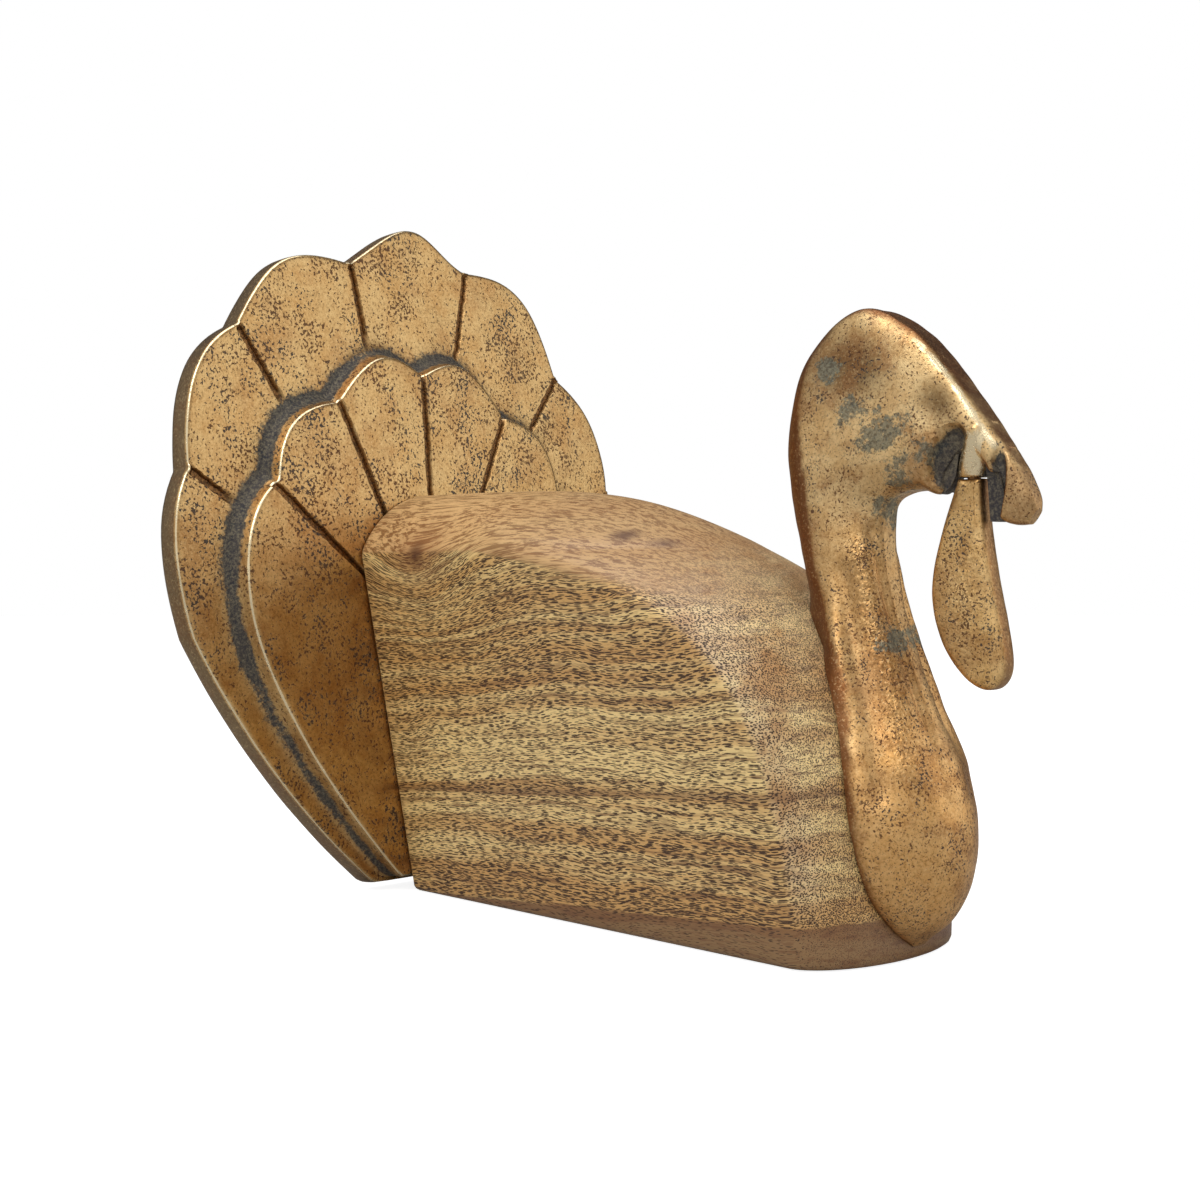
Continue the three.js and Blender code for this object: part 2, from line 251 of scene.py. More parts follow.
def ring_faces(rows: int, columns: int) -> list[Face]:
    """Quads between closed rings that follow each other.

    Args:
        rows: Number of rings.
        columns: Points on each ring.

    Returns:
        The faces.
    """
    faces: list[Face] = []
    for i in range(rows - 1):
        for j in range(columns):
            k = (j + 1) % columns
            faces.append((i * columns + j, i * columns + k, (i + 1) * columns + k, (i + 1) * columns + j))
    return faces


def fan_faces(centre: int, first: int, columns: int) -> list[Face]:
    """Triangles from one point to the ring that starts at an index."""
    return [(centre, first + j, first + (j + 1) % columns) for j in range(columns)]


def pointed(rings: list[np.ndarray], first: np.ndarray, last: np.ndarray) -> tuple[np.ndarray, list[Face]]:
    """A stack of closed rings drawn together to a point at each end.

    Args:
        rings: Points of each ring.
        first: Point that closes the first ring.
        last: Point that closes the last ring.

    Returns:
        All the points and the faces.
    """
    columns = len(rings[0])
    points = np.vstack([*rings, first[None], last[None]])
    faces = ring_faces(len(rings), columns)
    faces += fan_faces(len(points) - 2, 0, columns)
    faces += fan_faces(len(points) - 1, (len(rings) - 1) * columns, columns)
    return points, faces


def blunt(rings: list[np.ndarray]) -> tuple[np.ndarray, list[Face]]:
    """A stack of closed rings with a flat face at each end.

    Args:
        rings: Points of each ring.

    Returns:
        All the points and the faces.
    """
    columns = len(rings[0])
    last = (len(rings) - 1) * columns
    ends = [tuple(range(columns)), tuple(range(last, last + columns))]
    return np.vstack(rings), ring_faces(len(rings), columns) + ends


def new_piece(name: str, points: np.ndarray, faces: list[Face]) -> bpy.types.Object:
    """A mesh object whose place is in its mesh, smooth, with its faces pointing outwards.

    Args:
        name: Name of the object.
        points: Places in millimetres from the foot of the wood's back face.
        faces: Corners of each face.

    Returns:
        The linked object.
    """
    placed = (points + np.array([ORIGIN_X, 0.0, 0.0])) * MM
    mesh = bpy.data.meshes.new(name)
    mesh.from_pydata(placed.tolist(), [], faces)
    work = bmesh.new()
    work.from_mesh(mesh)
    bmesh.ops.recalc_face_normals(work, faces=work.faces)
    work.to_mesh(mesh)
    work.free()
    mesh.shade_smooth()
    piece = bpy.data.objects.new(name, mesh)
    bpy.context.scene.collection.objects.link(piece)
    return piece


def settle(piece: bpy.types.Object) -> None:
    """Turn a piece's modifiers into its plain mesh.

    Args:
        piece: The object to settle.
    """
    graph = bpy.context.evaluated_depsgraph_get()
    made = bpy.data.meshes.new_from_object(piece.evaluated_get(graph))
    piece.modifiers.clear()
    piece.data = made


def meet(piece: bpy.types.Object, tool: bpy.types.Object, how: Join, solver: Solver = Solver.EXACT) -> None:
    """Join a tool to a piece or take it away, and remove the tool.

    Args:
        piece: The object that stays.
        tool: The object that is used up.
        how: Whether the tool is added or taken away.
        solver: How the join is worked out.
    """
    step = piece.modifiers.new(how.name.lower(), "BOOLEAN")
    step.operation = how.value
    step.solver = solver.value
    step.object = tool
    bpy.context.view_layer.update()
    settle(piece)
    bpy.data.objects.remove(tool)


def vertex_rows(piece: bpy.types.Object, key: str) -> np.ndarray:
    """Three numbers for each point of a piece, such as its place or its normal.

    Args:
        piece: The object.
        key: Name of the property.

    Returns:
        The numbers, one point to a row.
    """
    flat = np.zeros(len(piece.data.vertices) * 3)
    piece.data.vertices.foreach_get(key, flat)
    return flat.reshape(-1, 3)


def millimetres(piece: bpy.types.Object) -> np.ndarray:
    """The piece's points in millimetres from the foot of the wood's back face."""
    return vertex_rows(piece, "co") / MM - np.array([ORIGIN_X, 0.0, 0.0])


def mark(piece: bpy.types.Object, name: str, values: np.ndarray) -> None:
    """Keep one number for each point of a piece, for its finish to read."""
    layer = piece.data.attributes.new(name, "FLOAT", "POINT")
    layer.data.foreach_set("value", np.clip(values, 0.0, 1.0).astype(np.float32))


def dress(piece: bpy.types.Object, finish: bpy.types.Material, crease: float) -> bpy.types.Object:
    """Give a piece its finish, smooth but for its sharp edges.

    Args:
        piece: The object.
        finish: Its material.
        crease: Turn in degrees beyond which an edge is sharp.

    Returns:
        The same object.
    """
    piece.data.shade_smooth()
    piece.data.set_sharp_from_angle(angle=math.radians(crease))
    piece.data.materials.clear()
    piece.data.materials.append(finish)
    return piece


def seat(piece: bpy.types.Object, slot: Slot, *nodes: str) -> None:
    """Let a piece stand for solids of the part, and report it.

    Args:
        piece: The dressed object.
        slot: Material slot of the part's record; not used.
        nodes: Names of the solids.
    """
    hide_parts(*nodes)
    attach(piece, "root")
    LOG.info("%s: %d faces, stands for %s", piece.name, len(piece.data.polygons), ", ".join(nodes))


class Graph:
    """A node tree with short calls for the nodes that the finishes use."""

    def __init__(self, tree: bpy.types.NodeTree) -> None:
        """Start on a tree."""
        self.tree = tree

    def add(self, kind: str, inputs: dict | None = None, **settings: object) -> bpy.types.Node:
        """A new node.

        Args:
            kind: Type of the node.
            inputs: A socket or a plain value for inputs, by name or number.
            settings: Properties of the node.

        Returns:
            The node.
        """
        node = self.tree.nodes.new(kind)
        for key, value in settings.items():
            setattr(node, key, value)
        for key, value in (inputs or {}).items():
            self.feed(node.inputs[key], value)
        return node

    def feed(self, socket: Socket, value: object) -> None:
        """Link a socket into another, or set a plain value on it.

        Args:
            socket: The input.
            value: An output socket or a plain value.
        """
        if isinstance(value, Socket):
            self.tree.links.new(value, socket)
        else:
            socket.default_value = value

    def math(self, operation: str, first: object, second: object = 0.0, clamp: bool = False) -> Socket:
        """Result of a sum on one or two values."""
        node = self.add("ShaderNodeMath", {0: first, 1: second}, operation=operation, use_clamp=clamp)
        return node.outputs[0]

    def plus(self, first: object, second: object) -> Socket:
        """Sum of two values."""
        return self.math("ADD", first, second)

    def less(self, first: object, second: object) -> Socket:
        """First value less the second."""
        return self.math("SUBTRACT", first, second)

    def times(self, first: object, second: object) -> Socket:
        """Product of two values."""
        return self.math("MULTIPLY", first, second)

    def scaled(self, value: object, gain: float, base: float) -> Socket:
        """A value times a gain, on top of a base."""
        return self.add("ShaderNodeMath", {0: value, 1: gain, 2: base}, operation="MULTIPLY_ADD").outputs[0]

    def total(self, *values: object) -> Socket:
        """Sum of values, kept between 0 and 1.

        Args:
            values: The values.

        Returns:
            The sum.
        """
        made = values[0]
        for value in values[1:]:
            made = self.math("ADD", made, value, clamp=True)
        return made

    def blend(self, share: object, first: object, second: object) -> Socket:
        """Colour between two colours."""
        return self.add("ShaderNodeMix", {"Factor": share, 6: first, 7: second}, data_type="RGBA").outputs[2]

    def tint(self, under: object, over: object, share: object, most: float) -> Socket:
        """A colour with another laid over it, by a share of its most."""
        return self.blend(self.times(share, most), under, over)

    def mix(self, share: object, first: object, second: object) -> Socket:
        """Number between two numbers."""
        return self.add("ShaderNodeMix", {"Factor": share, 2: first, 3: second}, data_type="FLOAT").outputs[0]

    def rise(self, value: object, low: object, high: object) -> Socket:
        """Eased rise from 0 at low to 1 at high."""
        inputs = {"Value": value, "From Min": low, "From Max": high}
        return self.add("ShaderNodeMapRange", inputs, interpolation_type="SMOOTHSTEP").outputs["Result"]

    def noise(self, vector: object, scale: float, detail: float = 2.0, rough: float = 0.5) -> Socket:
        """Cloudy noise of a size."""
        inputs = {"Vector": vector, "Scale": scale, "Detail": detail, "Roughness": rough}
        return self.add("ShaderNodeTexNoise", inputs).outputs["Fac"]

    def sway(self, vector: object, scale: float, detail: float = 2.0, rough: float = 0.5) -> Socket:
        """Cloudy noise of a size, about zero."""
        return self.less(self.noise(vector, scale, detail, rough), 0.5)

    def cells(self, vector: object, scale: float) -> Socket:
        """Distance to the nearest of scattered points."""
        return self.add("ShaderNodeTexVoronoi", {"Vector": vector, "Scale": scale}).outputs["Distance"]

    def place(self, turn: float = 0.0) -> Socket:
        """Object coordinates, turned about the cross axis."""
        inputs = {"Vector": self.add("ShaderNodeTexCoord").outputs["Object"], "Rotation": (0.0, turn, 0.0)}
        return self.add("ShaderNodeMapping", inputs).outputs["Vector"]

    def stretch(self, vector: object, scale: Triple) -> Socket:
        """Coordinates scaled apart along each axis."""
        return self.add("ShaderNodeVectorMath", {0: vector, 1: scale}, operation="MULTIPLY").outputs[0]

    def parts(self, vector: object) -> tuple[Socket, ...]:
        """The three parts of a vector."""
        return tuple(self.add("ShaderNodeSeparateXYZ", {0: vector}).outputs)

    def mark(self, name: str) -> Socket:
        """A number kept on the piece's points."""
        return self.add("ShaderNodeAttribute", attribute_name=name).outputs["Fac"]

    def spot(self, vector: object, centre: Triple, size: Triple) -> Socket:
        """Soft spot, 1 at a place and 0 beyond a size along each axis.

        Args:
            vector: Coordinates in metres.
            centre: Place in millimetres from the foot of the wood's back face.
            size: Reach along each axis in millimetres.

        Returns:
            The strength of the spot.
        """
        middle = ((centre[0] + ORIGIN_X) * MM, centre[1] * MM, centre[2] * MM)
        shift = self.add("ShaderNodeVectorMath", {0: vector, 1: middle}, operation="SUBTRACT").outputs[0]
        scaled = self.stretch(shift, tuple(1 / (s * MM) for s in size))
        length = self.add("ShaderNodeVectorMath", {0: scaled}, operation="LENGTH").outputs["Value"]
        return self.rise(length, 1.0, 0.0)

    def bump(self, height: object, depth: float, strength: float, under: Socket | None = None) -> Socket:
        """Normal bent by a height.

        Args:
            height: The height, from 0 to 1.
            depth: Millimetres that a height of 1 stands for.
            strength: Share of the bend that is kept.
            under: Normal to start from.

        Returns:
            The normal.
        """
        inputs = {"Strength": strength, "Distance": depth * MM, "Height": height}
        if under is not None:
            inputs["Normal"] = under
        return self.add("ShaderNodeBump", inputs).outputs["Normal"]


def new_finish(name: str) -> tuple[bpy.types.Material, Graph, bpy.types.Node]:
    """An empty material.

    Args:
        name: Name of the material.

    Returns:
        The material, the graph to fill and its shader.
    """
    material = bpy.data.materials.new(name)
    material.use_nodes = True
    graph = Graph(material.node_tree)
    return material, graph, material.node_tree.nodes["Principled BSDF"]


def cast_skin_group() -> bpy.types.NodeTree:
    """Shared effect of a sand-cast skin: clustered pits, slow mottling and a fine tooth.

    Returns:
        A group that gives pits, their tint, mottling and a height.
    """
    tree = bpy.data.node_groups.new("cast_skin", "ShaderNodeTree")
    taken = {"Vector": "NodeSocketVector", "Pitting": "NodeSocketFloat", "Tooth": "NodeSocketFloat"}
    for name, kind in taken.items():
        tree.interface.new_socket(name, in_out="INPUT", socket_type=kind)
    for name in ("Pits", "Tint", "Mottle", "Height"):
        tree.interface.new_socket(name, in_out="OUTPUT", socket_type="NodeSocketFloat")
    graph = Graph(tree)
    given = graph.add("NodeGroupInput").outputs
    where = given["Vector"]
    cluster = graph.rise(graph.noise(where, 100, 4, 0.65), 0.36, 0.68)
    edge = graph.less(0.64, graph.times(graph.times(cluster, given["Pitting"]), 0.12))
    pits = graph.rise(graph.noise(where, 1350, 2, 0.6), edge, graph.plus(edge, 0.035))
    tint = graph.rise(graph.noise(where, 95, 2), 0.44, 0.62)
    mottle = graph.rise(graph.noise(where, 130, 7, 0.72), 0.32, 0.68)
    height = graph.less(graph.times(graph.noise(where, 2600, 2), given["Tooth"]), pits)
    graph.add("NodeGroupOutput", {"Pits": pits, "Tint": tint, "Mottle": mottle, "Height": height})
    return tree


@dataclass(frozen=True)
class AgedBrass:
    """Finish of a casting: gold metal, pitted, darkened with patina in its hollows, with painted shade and
    shadow where marked, and rubbed bright on its edges.
    """

    name: str
    light: Colour = srgb(204, 172, 124)
    deep: Colour = srgb(186, 150, 104)
    rust: Colour = srgb(92, 58, 36)
    soot: Colour = srgb(46, 50, 56)
    murk: Colour = srgb(104, 100, 86)
    rubbed: Colour = srgb(236, 216, 176)
    band_and_shade: Colour = srgb(122, 78, 48)
    patina: Colour = srgb(128, 130, 112)
    patina_deep: Colour = srgb(84, 84, 74)
    warm: Colour = srgb(216, 156, 84)
    shade: Colour = srgb(104, 82, 56)
    browned: Colour = srgb(146, 92, 52)
    grit: Colour = srgb(112, 76, 42)
    glint: Colour = srgb(240, 206, 150)
    channel: Colour = srgb(140, 98, 58)
    channel_deep: Colour = srgb(72, 52, 36)
    pitting: float = 1.0
    tooth: float = 0.25
    roughness: float = 0.34
    fineness: float = 1.0
    swell: float = 0.35
    tarnish: float = 0.25

    def make(self, skin: bpy.types.NodeTree) -> bpy.types.Material:
        """The material.

        Args:
            skin: The cast skin effect.

        Returns:
            A material that reads the piece's marks: edge, hollow_and_shadow, groove, band_and_shade, patina,
            shade, grain and warm.
        """
        material, graph, shader = new_finish(self.name)
        where = graph.place()
        grain, banded_and_shaded = graph.mark("grain"), graph.mark("band_and_shade")
        inputs = {
            "Vector": graph.stretch(where, (self.fineness,) * 3),
            "Pitting": graph.scaled(grain, 0.6, self.pitting),
            "Tooth": self.tooth,
        }
        cast = graph.add("ShaderNodeGroup", inputs, node_tree=skin).outputs
        pits = graph.times(cast["Pits"], graph.less(1.0, banded_and_shaded))

        colour = graph.blend(cast["Mottle"], self.deep, self.light)
        colour = graph.tint(colour, self.warm, graph.mark("warm"), 0.6)
        colour = graph.tint(colour, self.shade, graph.mark("shade"), 0.8)
        # This colour is the fan's brushed side wall and the wattle's rim. On the head it is painted shade on
        # faces turned back or up and along the rim at the wood.
        colour = graph.tint(colour, self.band_and_shade, banded_and_shaded, 0.95)
        browned = graph.rise(graph.noise(where, 60, 6, 0.72), 0.48, 0.6)
        colour = graph.tint(colour, self.browned, browned, self.tarnish)
        grit = graph.noise(where, 1500, 4, 0.8)
        colour = graph.tint(colour, self.grit, graph.rise(grit, 0.5, 0.36), 0.5)
        # Painted glints: pale specks of painted highlight over the grit, most on the rough zone.
        sparkle = graph.times(graph.rise(grit, 0.54, 0.66), graph.scaled(grain, 0.4, 0.4))
        colour = graph.blend(sparkle, colour, self.glint)
        stain = graph.blend(cast["Tint"], self.rust, self.soot)
        colour = graph.tint(colour, stain, pits, 0.88)

        ragged = graph.times(graph.sway(where, 190, 9, 0.82), 2.6)
        patch = graph.rise(graph.plus(graph.mark("patina"), ragged), 0.56, 0.68)
        bloom = graph.blend(graph.rise(grit, 0.4, 0.6), self.patina_deep, self.patina)
        colour = graph.tint(colour, bloom, patch, 0.8)
        rusty = graph.blend(graph.rise(grit, 0.42, 0.58), self.channel_deep, self.channel)
        # This mark is the rusty inside of the fan's grooves, and painted shade along the neck's rear flute.
        colour = graph.tint(colour, rusty, graph.mark("groove"), 0.92)
        uneven = graph.rise(graph.noise(where, 38, 1), 0.28, 0.6)
        # Patina in the hollows, and painted shadow on the thin sheets beside the lug, both come through this
        # mark.
        hollow_and_shadow = graph.times(graph.mark("hollow_and_shadow"), graph.mix(uneven, 0.55, 1.15))
        spray = graph.times(graph.sway(where, 560, 7, 0.85), 1.5)
        hollow_and_shadow = graph.rise(graph.plus(hollow_and_shadow, spray), 0.36, 0.6)
        murk = graph.blend(graph.rise(grit, 0.44, 0.62), self.soot, self.murk)
        colour = graph.tint(colour, murk, hollow_and_shadow, 0.92)
        broken = graph.times(graph.sway(where, 420, 3, 0.65), 0.6)
        edge = graph.rise(graph.plus(graph.mark("edge"), broken), 0.45, 0.7)
        graph.feed(shader.inputs["Base Color"], graph.blend(edge, colour, self.rubbed))

        dull = graph.total(graph.times(pits, 0.5), graph.times(patch, 0.5), hollow_and_shadow)
        graph.feed(shader.inputs["Metallic"], graph.mix(dull, 1.0, 0.45))
        rough = graph.mix(dull, graph.scaled(cast["Mottle"], 0.08, self.roughness), 0.62)
        graph.feed(shader.inputs["Roughness"], graph.mix(edge, rough, 0.24))
        beads = graph.times(graph.noise(where, 900, 2, 0.5), grain)
        fine = graph.bump(graph.plus(cast["Height"], graph.times(beads, 5.0)), 0.22, 0.55)
        swell = graph.noise(where, 75, 2, 0.5)
        graph.feed(shader.inputs["Normal"], graph.bump(swell, 1.2, self.swell, fine))
        return material


@dataclass(frozen=True)
class WaxedWood:
    """Finish of the body: open-pored striped hardwood under thin wax."""

    name: str = "waxed_wood"
    pale: Colour = srgb(246, 214, 146)
    tan: Colour = srgb(212, 164, 98)
    dark: Colour = srgb(124, 82, 46)
    pore: Colour = srgb(58, 35, 18)
    # Painted sheen: the pale colour laid on the nose's rounding.
    painted_nose_sheen: Colour = srgb(232, 214, 182)
    nose_tan: Colour = srgb(176, 122, 64)
    crown: Colour = srgb(218, 176, 122)
    crown_streak: Colour = srgb(124, 80, 44)
    crown_front_shade: Colour = srgb(150, 104, 62)
    heart: Colour = srgb(112, 70, 42)
    knot: Colour = srgb(84, 46, 30)
    knot_ring: Colour = srgb(150, 98, 62)
    grain_rise: float = math.radians(3.9)
    knot_place: Triple = (15.6, -26.2, 80.3)
    small_knots: tuple[tuple[Triple, Triple, float], ...] = (
        ((73.0, -18.8, 83.9), (5.2, 6.0, 2.4), 1.0),
        ((81.8, -16.1, 82.2), (5.4, 6.0, 2.0), 0.7),
        ((97.1, -29.9, 45.4), (1.0, 3.0, 1.0), 1.0),
    )

    def fibre(self, graph: Graph) -> Socket:
        """Coordinates in millimetres that run with the grain: rising, wavy, and bent round the knot.

        Args:
            graph: The material's graph.

        Returns:
            The coordinates.
        """
        tilted = graph.place(self.grain_rise)
        x, y, z = graph.parts(graph.stretch(tilted, (1 / MM, 1 / MM, 1 / MM)))
        wave = graph.sway(graph.stretch(tilted, (1.0, 0.6, 0.8)), 26, 1)
        small = graph.sway(graph.stretch(tilted, (1.0, 1.0, 2.0)), 70, 1)
        lift = graph.plus(graph.times(wave, 7.0), graph.times(small, 2.0))
        bulge = graph.spot(graph.place(), self.knot_place, (26.0, 60.0, 26.0))
        lift = graph.plus(lift, graph.times(bulge, 9.0))
        return graph.add("ShaderNodeCombineXYZ", {0: x, 1: y, 2: graph.plus(z, lift)}).outputs[0]

    def make(self) -> bpy.types.Material:
        """The material, its grain running along the body and rising to the front.

        Returns:
            A material that reads the piece's marks crown and nose.
        """
        material, graph, shader = new_finish(self.name)
        plain, fibre = graph.place(), self.fibre(graph)
        crown, nose = graph.mark("crown"), graph.mark("nose")
        bands = graph.noise(graph.stretch(fibre, (0.003, 0.02, 0.14)), 1.0, 3, 0.62)
        layer = graph.rise(bands, 0.38, 0.62)
        colour = graph.blend(layer, self.tan, self.pale)
        stripes = graph.noise(graph.stretch(fibre, (0.02, 0.2, 0.9)), 1.0, 3, 0.65)
        colour = graph.tint(colour, self.dark, graph.rise(stripes, 0.5, 0.68), 0.72)
        threads = graph.noise(graph.stretch(fibre, (0.1, 2.6, 3.0)), 1.0, 2, 0.6)
        colour = graph.tint(colour, self.dark, graph.rise(threads, 0.5, 0.62), 0.5)
        # Painted sheen: faces turned to the front are painted paler. The tan clouds after it are the wood's
        # own tone.
        colour = graph.tint(colour, self.painted_nose_sheen, nose, 0.3)
        cloud = graph.rise(graph.noise(plain, 70, 5, 0.65), 0.46, 0.62)
        colour = graph.tint(colour, self.nose_tan, graph.times(cloud, nose), 0.7)

        height = graph.parts(graph.place(self.grain_rise))[2]
        height = graph.plus(height, graph.times(graph.less(stripes, 0.5), 0.003))
        stripe = graph.rise(height, 0.0049, 0.0042)
        colour = graph.tint(colour, self.heart, stripe, 0.82)
        line = graph.rise(graph.math("ABSOLUTE", graph.less(height, 0.0295)), 0.0012, 0.0002)
        colour = graph.tint(colour, self.dark, line, 0.5)

        cell = graph.cells(graph.stretch(fibre, (0.2, 3.7, 3.7)), 1.0)
        reach = graph.less(graph.scaled(layer, -0.08, 0.52), graph.times(stripe, 0.14))
        pores = graph.rise(cell, reach, graph.less(reach, 0.07))
        pores = graph.times(pores, graph.less(1.0, graph.times(crown, 0.9)))
        streaks = graph.noise(graph.stretch(fibre, (0.04, 1.35, 1.35)), 1.0, 4, 0.7)
        top = graph.blend(graph.rise(streaks, 0.47, 0.57), self.crown, self.crown_streak)
        # Painted shade: the top darkens towards the front.
        top = graph.tint(top, self.crown_front_shade, graph.rise(graph.parts(plain)[0], -0.055, 0.0), 0.32)
        colour = graph.tint(colour, top, crown, 0.85)
        colour = graph.tint(colour, self.pore, pores, 0.96)

        near = graph.spot(plain, self.knot_place, (15.0, 30.0, 11.0))
        colour = graph.tint(colour, self.knot_ring, near, 0.5)
        knots = [graph.spot(plain, self.knot_place, (4.2, 9.0, 4.4))]
        for place, size, share in self.small_knots:
            knots.append(graph.times(graph.spot(plain, place, size), share))
        graph.feed(shader.inputs["Base Color"], graph.tint(colour, self.knot, graph.total(*knots), 0.85))
        graph.feed(shader.inputs["Roughness"], graph.scaled(pores, 0.25, 0.4))
        tooth = graph.less(graph.times(threads, 0.3), pores)
        graph.feed(shader.inputs["Normal"], graph.bump(tooth, 0.15, 0.45))
        shader.inputs["Specular IOR Level"].default_value = 0.45
        shader.inputs["Coat Weight"].default_value = 0.2
        shader.inputs["Coat Roughness"].default_value = 0.3
        return material


@dataclass(frozen=True)
class PlainSteel:
    """Finish of the hidden screws and studs: drawn steel with a light stain."""

    name: str = "fastener_steel"
    bright: Colour = srgb(176, 178, 180)
    stained: Colour = srgb(118, 112, 104)

    def make(self) -> bpy.types.Material:
        """The material.

        Returns:
            A material that needs no marks.
        """
        material, graph, shader = new_finish(self.name)
        where = graph.place()
        stain = graph.rise(graph.noise(where, 380, 3, 0.6), 0.42, 0.66)
        graph.feed(shader.inputs["Base Color"], graph.blend(stain, self.bright, self.stained))
        graph.feed(shader.inputs["Roughness"], graph.scaled(stain, 0.25, 0.28))
        lathe = graph.noise(graph.stretch(where, (1.0, 0.08, 0.08)), 5000, 1)
        graph.feed(shader.inputs["Normal"], graph.bump(lathe, 0.03, 0.3))
        shader.inputs["Metallic"].default_value = 1.0
        return material


@dataclass
class WoodBody:
    """The shaped block: spreading flanks, a leaning flat back, an arched top and a blunt nose."""

    height: float = 95.6
    shoulder: float = 81.0
    shoulder_half: float = 24.0
    base_back_half: float = 12.8
    base_front_half: float = 25.8
    nose_round: float = 12.0
    nose_round_shoulder: float = 45.0
    base_edge: float = 1.2
    back_edge: float = 0.7
    crease: float = 38.0

    def nose_line(self) -> np.ndarray:
        """Profile of the middle, from the foot of the nose up and back over the top.

        Returns:
            Points as distance along the body and height.
        """
        top = self.height
        reach = [(0, 0), (1.6, top - 71.6), (7.4, top - 48.6), (16.6, top - 33.6), (27, top - 23.4)]
        reach += [(43, top - 13.6), (66, top - 4.8), (88, top - 1), (115, top)]
        return uniform_spline([(BODY_LENGTH - back, up) for back, up in reach], 400)

    def back_at(self, z: float) -> float:
        """Where the back face stands at a height."""
        return FIT_GAP / math.cos(TAIL_LEAN) - z * math.tan(TAIL_LEAN)

    def half_at(self, x: np.ndarray, z: float) -> np.ndarray:
        """Half width along the body, the shoulder's edge crisp behind and soft in front.

        Args:
            x: Places along the body.
            z: Height.

        Returns:
            The half width at each place.
        """
        spread = (self.base_front_half - self.base_back_half) / (BODY_LENGTH - self.nose_round)
        slope = (self.shoulder_half - self.base_back_half) / self.shoulder
        at = self.back_at(min(z, self.shoulder))
        flank = self.base_back_half + slope * z + spread * (x - at)
        crown = self.height - self.shoulder
        radius = (self.shoulder_half**2 + crown**2) / (2 * crown)
        climb = z - (self.height - radius)
        if climb < 0:
            return flank
        full = self.base_back_half + slope * self.shoulder + spread * (x - self.back_at(self.shoulder))
        arch = full * math.sqrt(max(radius**2 - climb**2, 0.01)) / self.shoulder_half
        soft = 1.0 + 9.0 * smooth_step(25, 95, x)
        overlap = np.maximum(soft - np.abs(flank - arch), 0.0) / soft
        return np.minimum(flank, arch) - overlap**2 * soft / 4

    def ring(self, z: float, inset: float, clearance: float) -> np.ndarray:
        """Level outline at a height.

        Args:
            z: Height.
            inset: How far the eased base edge draws the outline in.
            clearance: How far the outline is grown, for a neighbour cut to sit on it.

        Returns:
            A closed ring of points that starts in the middle of the back.
        """
        profile = self.nose_line()
        nose = float(np.interp(z, profile[:, 1], profile[:, 0])) - inset + clearance
        back = self.back_at(z) + inset - clearance
        share = min(z / self.shoulder, 1.0) ** 8
        wanted = self.nose_round + (self.nose_round_shoulder - self.nose_round) * share
        depth = min(wanted, 0.85 * (nose - back))
        corner = nose - depth
        flank_x = np.linspace(back, corner, 26)
        flank_x = np.concatenate([[back, back + 0.06, back + 0.25, back + self.back_edge], flank_x[1:]])
        flank_x = np.sort(flank_x)
        half = np.maximum(self.half_at(flank_x, z) - inset, 0.05) + clearance
        ease = np.clip((flank_x - back) / self.back_edge, 0.0, 1.0)
        half = np.maximum(half - self.back_edge * (1 - np.sqrt(1 - (1 - ease) ** 2)), 0.03)
        turn = np.linspace(0, math.pi / 2, 30)[1:]
        x = np.concatenate([flank_x, corner + depth * np.sin(turn)])
        y = np.concatenate([half, half[-1] * np.cos(turn)])
        across = np.linspace(0, 1, 7)[:-1] * half[0]
        near = np.concatenate([np.stack([np.full(6, back), -across], 1), np.stack([x, -y], 1)])
        far = near[1:-1][::-1] * np.array([1.0, -1.0])
        outline = np.concatenate([near, far])
        return np.column_stack([outline, np.full(len(outline), z)])

    def levels(self) -> list[Pair]:
        """Where the rings lie, closest where the shape turns.

        Returns:
            The height and the inset of each ring.
        """
        edge = [(0.0, self.base_edge), (0.16, 0.7), (0.5, 0.25), (self.base_edge, 0.0)]
        flank = [(z, 0.0) for z in np.linspace(3, 75, 36)]
        shoulder = [(z, 0.0) for z in np.arange(75.6, 84.5, 0.4)]
        rise = np.sin(np.linspace(0.06, 1, 30) * math.pi / 2)
        crown = [(z, 0.0) for z in 84.5 + (self.height - 84.5) * rise]
        return edge + flank + shoulder + crown

    def solid(self, name: str, clearance: float) -> bpy.types.Object:
        """The block as a closed mesh.

        Args:
            name: Name of the object.
            clearance: How far it is grown.

        Returns:
            The object.
        """
        rings = [self.ring(z, inset, clearance) for z, inset in self.levels()]
        rings[0][:, 2] -= clearance
        rings[-1][:, 2] += clearance
        return new_piece(name, *pointed(rings, rings[0].mean(0), rings[-1].mean(0)))

    def build(self, finish: bpy.types.Material) -> bpy.types.Object:
        """The dressed block.

        Args:
            finish: Its material.

        Returns:
            The piece.
        """
        piece = self.solid("wood_block", 0.0)
        x, _, z = millimetres(piece).T
        border = np.interp(x, [0, 36, 56, 68, 76, 84, 100], [81.0, 81.0, 78.3, 76.1, 74.8, 74.0, 70.5])
        soft = 0.4 + 1.6 * smooth_step(40, 70, x)
        mark(piece, "crown", smooth_step(0, 1, (z - border) / soft + 0.8) * smooth_step(118, 78, x))
        # Faces turned to the front: the finish paints them with a painted sheen and a mottled tan tint.
        turned = vertex_rows(piece, "normal")[:, 0]
        rounding = smooth_step(0.1, 0.5, turned) * smooth_step(0.98, 0.7, turned)
        mark(piece, "nose", rounding * smooth_step(6, 20, z))
        return dress(piece, finish, self.crease)


@dataclass(frozen=True)
class Ring:
    """One ring of the fan's mesh.

    Its distance from the focus is a sum of shares of both tiers' reach and of the room between them, and
    of plain millimetres.
    """

    depth: float
    front: float = 0.0
    rear: float = 0.0
    room: float = 0.0
    plain: float = 0.0
    front_groove: float = 0.0
    rear_groove: float = 0.0
    edge: float = 0.0
    hollow_and_shadow: float = 0.0
    band_and_shade: float = 0.0
    shade: float = 0.0


